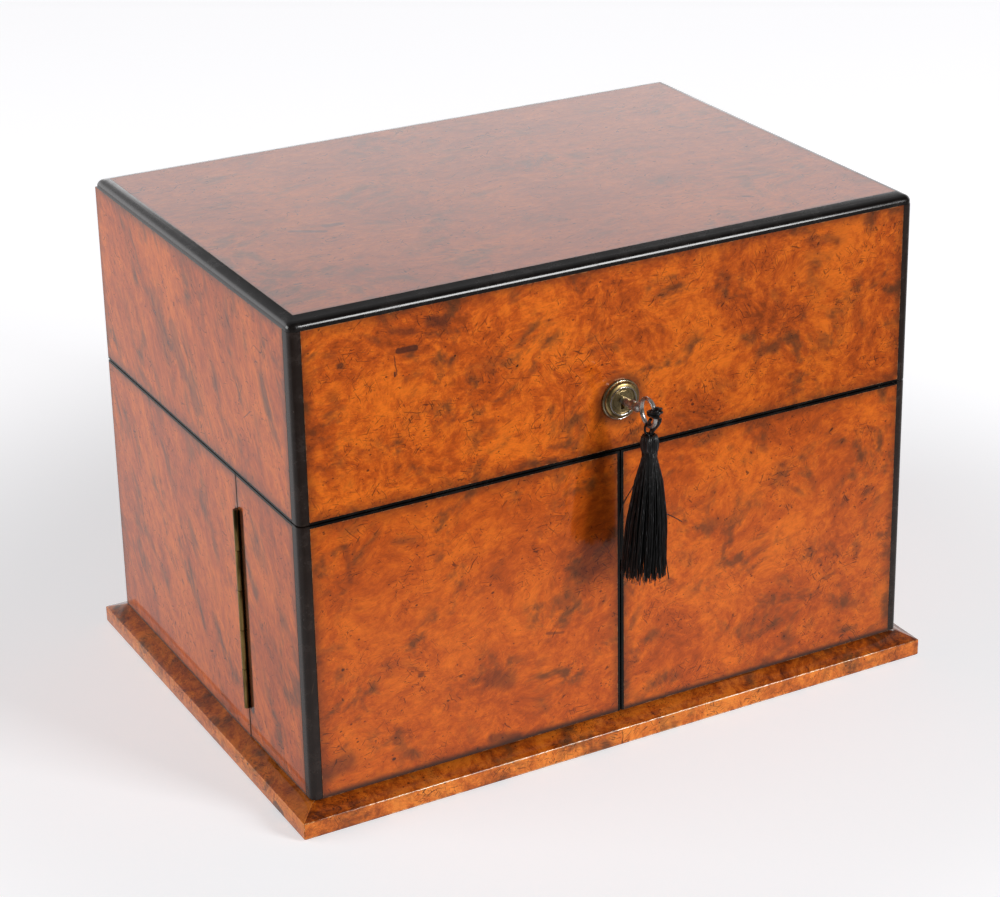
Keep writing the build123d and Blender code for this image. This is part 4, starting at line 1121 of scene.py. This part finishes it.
tassel = {
    "headProfile": [
        (0.0, 173.2), (0.9, 173.4), (1.5, 174.0), (2.2, 174.7), (2.9, 174.9), (3.6, 174.4), (4.15, 173.2),
        (4.45, 171.4), (4.50, 169.4), (4.40, 168.0), (4.10, 166.8), (3.75, 166.0), (3.5, 164.2),
        (3.45, 162.4), (0.0, 162.4),
    ],
    "ribs": 26, "ribDepth": 0.13, "ribShift": 0.6, "plainRadius": 1.8, "plainBelow": 162.0,
    "link": {"x": 0.4, "z": 174.6, "radius": 1.35, "thick": 0.9, "steps": 32},
    "winding": {"top": 166.4, "bottom": 164.2, "turns": 5.0, "radius": 3.62, "thick": 0.50, "steps": 28},
    "aside": 1.7, "lean": -3.6, "leanPower": 1.4,
    "shape": [  # height and radius down the skirt
        (165.2, 3.1), (162.0, 3.8), (158.5, 4.8), (151.0, 6.9), (139.0, 8.6), (124.0, 10.0), (97.0, 10.8),
    ],
    "threads": 430, "steps": 13, "thickness": 0.50, "hem": 103.4, "uneven": 2.2, "seed": 4,
    "goldenTurn": 2.39996, "drift": 0.14, "taper": 0.25, "strayShare": 1.05, "strayFront": 1.5,
    "strays": [  # x and z of the threads that stand off in the photo
        [(-4.5, 158.0), (-8.6, 150.0), (-12.4, 145.4), (-14.7, 141.0), (-15.6, 133.0), (-15.7, 124.0),
         (-15.3, 114.2)],
        [(6.0, 134.6), (11.0, 131.5), (15.2, 128.6), (19.0, 125.6)],
        [(7.6, 132.0), (8.8, 121.0), (10.2, 108.0), (11.9, 96.6)],
        [(7.0, 130.0), (8.3, 118.0), (9.3, 108.0), (10.0, 99.5)],
        [(-3.0, 125.0), (-3.4, 110.0), (-4.6, 97.4)],
    ],
}


def skirtRadius(z):
    shape = tassel["shape"]
    for (z0, r0), (z1, r1) in zip(shape, shape[1:]):
        if z >= z1:
            share = max(0.0, (z0 - z) / (z0 - z1))
            return r0 + (r1 - r0) * (share * (2 - share) if z0 < 150 else share)
    return shape[-1][1]


def makeHead():
    bm = turned(tassel["headProfile"], (cord["x"], cord["y"], 0), (0, 0, 1), tassel["ribs"] * 4)
    for v in bm.verts:  # threads drawn down over the head
        away = Vector((v.co.x - cord["x"] * mm, v.co.y - cord["y"] * mm, 0))
        v.co.x += tassel["aside"] * mm
        turn = math.atan2(away.y, away.x)
        if away.length > tassel["plainRadius"] * mm and v.co.z > tassel["plainBelow"] * mm:
            rib = math.cos(turn * tassel["ribs"]) - tassel["ribShift"]
            v.co += away.normalized() * rib * tassel["ribDepth"] * mm
    winding = tassel["winding"]
    count = int(winding["turns"] * winding["steps"])
    x = cord["x"] + tassel["aside"]
    path = []
    for k in range(count + 1):
        turn = 2 * math.pi * winding["turns"] * k / count
        z = winding["top"] + (winding["bottom"] - winding["top"]) * k / count
        radius = winding["radius"]
        path.append(((x + radius * math.cos(turn), cord["y"] + radius * math.sin(turn), z), 1.0))
    joinInto(bm, strands([path], winding["thick"], 2))
    link = tassel["link"]  # ring of cord that hangs the head from the loop
    path = []
    for k in range(link["steps"] + 1):
        turn = 2 * math.pi * k / link["steps"]
        y = cord["y"] + link["radius"] * math.sin(turn)
        path.append(((cord["x"] + link["x"], y, link["z"] + link["radius"] * math.cos(turn)), 1.0))
    joinInto(bm, strands([path], link["thick"], 2))
    return finishPiece("bound_head", bm, [silk], ["tassel_head"], sharp=50)


def makeSkirt():
    chance = random.Random(tassel["seed"])
    top = tassel["shape"][0][0]
    paths = []
    for k in range(tassel["threads"]):
        turn = k * tassel["goldenTurn"] + chance.uniform(-0.05, 0.05)
        share = 0.30 + 0.70 * math.sqrt((k + 0.5) / tassel["threads"])
        uneven = chance.uniform(-1, 1) * tassel["uneven"] * (1 if chance.random() < 0.8 else 1.5)
        hem = tassel["hem"] + uneven
        drift = chance.gauss(0, tassel["drift"])
        wave, phase = chance.uniform(0.05, 0.45), chance.uniform(0, 6.3)
        plump = chance.uniform(0.65, 1.25)
        path = []
        for step in range(tassel["steps"] + 1):
            down = step / tassel["steps"]
            z = top + (hem - top) * down
            radius = skirtRadius(z) * share + wave * math.sin(phase + down * 7) * down
            angle = turn + drift * down
            lean = tassel["lean"] * down ** tassel["leanPower"]
            x = cord["x"] + tassel["aside"] + radius * math.cos(angle) + lean
            y = cord["y"] + radius * math.sin(angle)
            path.append(((x, y, z), plump * (1.0 - tassel["taper"] * down)))
        paths.append(path)
    for stray in tassel["strays"]:
        y = cord["y"] - tassel["strayFront"]
        paths.append([((x, y, z), tassel["strayShare"]) for x, z in rounded(stray, 1)])
    mesh = strands(paths, tassel["thickness"], 1)
    return finishPiece("thread_skirt", mesh, [silk], ["tassel_skirt"], sharp=80)


makeLoop()
makeWraps()
makeHead()
makeSkirt()
print("tassel done")


# Hinges, lock case, strikes, racks, boards and glass: joined copies of the CAD meshes with softened arrises
softened = {
    # node: width in millimetres, segments, material
    "baize_base": (0.25, 1, baize), "base_board": (0.6, 2, caseWood),
    "decanter_rack": (0.7, 3, fittingWood), "front_tray": (0.6, 3, fittingWood),
    "door_left_glass_rack": (0.5, 2, fittingWood), "door_right_glass_rack": (0.5, 2, fittingWood),
    "decanter_1": (0.7, 3, crystal), "decanter_2": (0.7, 3, crystal), "decanter_3": (0.7, 3, crystal),
    "stopper_1": (0.5, 3, crystal), "stopper_2": (0.5, 3, crystal), "stopper_3": (0.5, 3, crystal),
    "door_left_glasses": (0.3, 2, crystal), "door_right_glasses": (0.3, 2, crystal),
    "lock_case": (0.15, 2, brass), "lock_hook": (0.10, 1, steel),
    "door_left_strike": (0.15, 2, brass), "door_right_strike": (0.15, 2, brass),
    "lid_hinge_case_leaves": (0.22, 2, brass), "lid_hinge_lid_leaves": (0.22, 2, brass),
    "lid_hinge_pins": (0.2, 2, brass),
    "door_hinge_left_case_leaf": (0.22, 2, hingeBrass), "door_hinge_left_door_leaf": (0.22, 2, hingeBrass),
    "door_hinge_right_case_leaf": (0.22, 2, hingeBrass), "door_hinge_right_door_leaf": (0.22, 2, hingeBrass),
    "door_hinge_left_pin": (0.2, 2, hingeBrass), "door_hinge_right_pin": (0.2, 2, hingeBrass),
}
barrelSlim = {"within": 2.55, "share": 0.62}  # the long hinges' knuckles are slender, this share of the CAD's
for node, (width, segments, material) in softened.items():
    bm = copyOf(node)
    soften(bm, width, segments, sharp=33 if slotOf[node] in ("brass", "steel") else 12)
    if node.startswith("door_hinge"):
        centre = Vector((math.copysign(hingeAxis.x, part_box(node)[0].x), hingeAxis.y))
        for v in bm.verts:
            away = v.co.xy - centre
            if away.length < barrelSlim["within"] * mm:
                v.co.xy = centre + away * barrelSlim["share"]
    finishPiece(node + "_soft", bm, [material], [node])

# Quilted lining under the lid
quilt = {
    "pitch": 38.0, "puff": 4.2, "step": 3.0, "edge": 9.0, "rows": 12,
    "button": 3.2, "margin": 12.0, "sink": 0.6, "flatness": 0.45,
}


def makeLining():
    low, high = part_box("lid_lining")
    bm = copyOf("lid_lining")
    for axis in (0, 1):
        planes(bm, axis, evenly(low[axis], high[axis], quilt["step"]))
    for v in bm.verts:
        if v.co.z < low.z + 1e-6:
            x, y = v.co.x / mm, v.co.y / mm
            a = abs(math.sin(math.pi * (x + y) / quilt["pitch"]))
            b = abs(math.sin(math.pi * (x - y) / quilt["pitch"]))
            edge = min(min(v.co[i] - low[i], high[i] - v.co[i]) for i in (0, 1)) / (quilt["edge"] * mm)
            v.co.z -= quilt["puff"] * mm * (a * b) ** 0.5 * max(0.0, min(1.0, edge))
    middle = (low + high) / 2
    reach = high - middle - Vector((1, 1, 0)) * quilt["margin"] * mm
    pressed = Matrix.Diagonal((1, 1, quilt["flatness"], 1))
    rows = range(-quilt["rows"], quilt["rows"] + 1)
    for i in rows:
        for j in rows:  # a covered button where the seams cross
            x, y = (i + j) * quilt["pitch"] / 2 * mm, (i - j) * quilt["pitch"] / 2 * mm
            if abs(x - middle.x) < reach.x and abs(y - middle.y) < reach.y:
                place = Matrix.Translation((x, y, low.z - quilt["sink"] * mm))
                bmesh.ops.create_uvsphere(
                    bm, u_segments=20, v_segments=10, radius=quilt["button"] * mm, matrix=place @ pressed
                )
    return finishPiece("quilted_lining", bm, [velvet], ["lid_lining"], sharp=70)


makeLining()


# Light, surroundings and floor; the softboxes are aimed in degrees from the front, towards +X and up
softboxes = {
    "key": {"aim": (27.0, 19.0), "distance": 2.6, "size": (0.76, 1.15), "power": 53.5},
    "left": {"aim": (-105.0, 12.0), "distance": 1.6, "size": (1.0, 0.9), "power": 12.4},
}
aimPoint = Vector((0, 0, 0.13))
room = {
    "color": (0.995, 0.985, 1, 1), "ambient": 0.12, "backdrop": 0.972,
    "wallLow": 1.60, "wallHigh": 0.30, "wallRise": (0.27, 0.52), "wallFront": 0.05, "turn": (-0.25, 0.25),
}
paper = {
    "front": -1.2, "back": 3.0, "side": 3.0,
    "color": (0.615, 0.648, 0.668, 1), "bounce": (0.90, 0.90, 0.91, 1), "mirror": (0.14, 0.14, 0.145, 1),
    "glow": (0.53, 0.80), "glowReach": (0.27, 0.56), "glowColor": (1, 0.985, 1, 1),
    "gloss": 0.40, "glossFrom": (-0.46, -0.20), "moreGloss": 0.28, "moreFrom": (-0.15, 0.35),
}


def addSoftbox(name, setting):
    azimuth, elevation = (math.radians(v) for v in setting["aim"])
    level = math.cos(elevation)
    way = Vector((math.sin(azimuth) * level, -math.cos(azimuth) * level, math.sin(elevation)))
    data = bpy.data.lights.new(name, "AREA")
    data.shape = "RECTANGLE"
    data.size, data.size_y = setting["size"]
    data.energy = setting["power"]
    light = bpy.data.objects.new(name, data)
    bpy.context.scene.collection.objects.link(light)
    light.location = aimPoint + way * setting["distance"]
    light.rotation_mode = "QUATERNION"
    light.rotation_quaternion = (-way).to_track_quat("-Z", "Y")


for name, setting in softboxes.items():
    addSoftbox(name + "Softbox", setting)


def blend(tree, factor, a, b):
    return addNode(tree, "Mix", {0: factor, 2: a, 3: b}).outputs[0]


def cameraOrGlass(tree, paths):  # rays seen by the camera, straight or through glass
    return larger(tree, paths["Is Camera Ray"], paths["Is Transmission Ray"])


def makeWorld():
    world = bpy.data.worlds.new("studio")
    bpy.context.scene.world = world
    world.use_nodes = True
    tree = world.node_tree
    paths = addNode(tree, "LightPath").outputs
    seen = cameraOrGlass(tree, paths)
    way = split(tree, addNode(tree, "TexCoord").outputs["Generated"])
    wall = fade(tree, way[2], *room["wallRise"], (room["wallLow"], room["wallHigh"]))
    gloss = blend(tree, fade(tree, way[1], *room["turn"]), room["wallFront"], wall)
    dim = blend(tree, paths["Is Glossy Ray"], room["ambient"], gloss)
    background = tree.nodes["Background"].inputs
    feed(tree, background["Color"], room["color"])
    feed(tree, background["Strength"], blend(tree, seen, dim, room["backdrop"]))


def makeFloor():
    bm = bmesh.new()
    bmesh.ops.create_grid(bm, x_segments=2, y_segments=2, size=1.0)
    for v in bm.verts:
        x = -paper["side"] if v.co.x < 0 else paper["side"]
        v.co = Vector((x, paper["front"] if v.co.y < 0 else paper["back"], 0))
    bmesh.ops.remove_doubles(bm, verts=bm.verts, dist=1e-5)
    mesh = bpy.data.meshes.new("floor")
    bm.to_mesh(mesh)
    bm.free()
    floor = bpy.data.objects.new("floor", mesh)
    bpy.context.scene.collection.objects.link(floor)
    material, tree, shader = newMaterial("floorPaper")
    mesh.materials.append(material)
    paths = addNode(tree, "LightPath").outputs
    seen = cameraOrGlass(tree, paths)
    place = addNode(tree, "TexCoord").outputs["Object"]
    front = split(tree, place)[1]
    mirrored = fade(tree, front, *paper["glossFrom"], (0.0, paper["gloss"]))
    mirrored = calc(tree, "ADD", mirrored, fade(tree, front, *paper["moreFrom"], (0.0, paper["moreGloss"])))
    gloss = times(tree, paths["Is Glossy Ray"], mirrored)
    glow = fade(tree, vectorCalc(tree, "LENGTH", place), *paper["glowReach"], paper["glow"])
    color = mixColor(tree, paths["Is Diffuse Ray"], paper["color"], paper["bounce"])
    setShader(
        tree, shader, Roughness=0.9, Specular_IOR_Level=0.1,
        Base_Color=mixColor(tree, paths["Is Glossy Ray"], color, paper["mirror"]),
        Emission_Color=paper["glowColor"],
        Emission_Strength=larger(tree, times(tree, seen, glow), gloss),
    )


makeWorld()
makeFloor()
view = bpy.context.scene.view_settings
view.view_transform = "Standard"

print("scene ready")
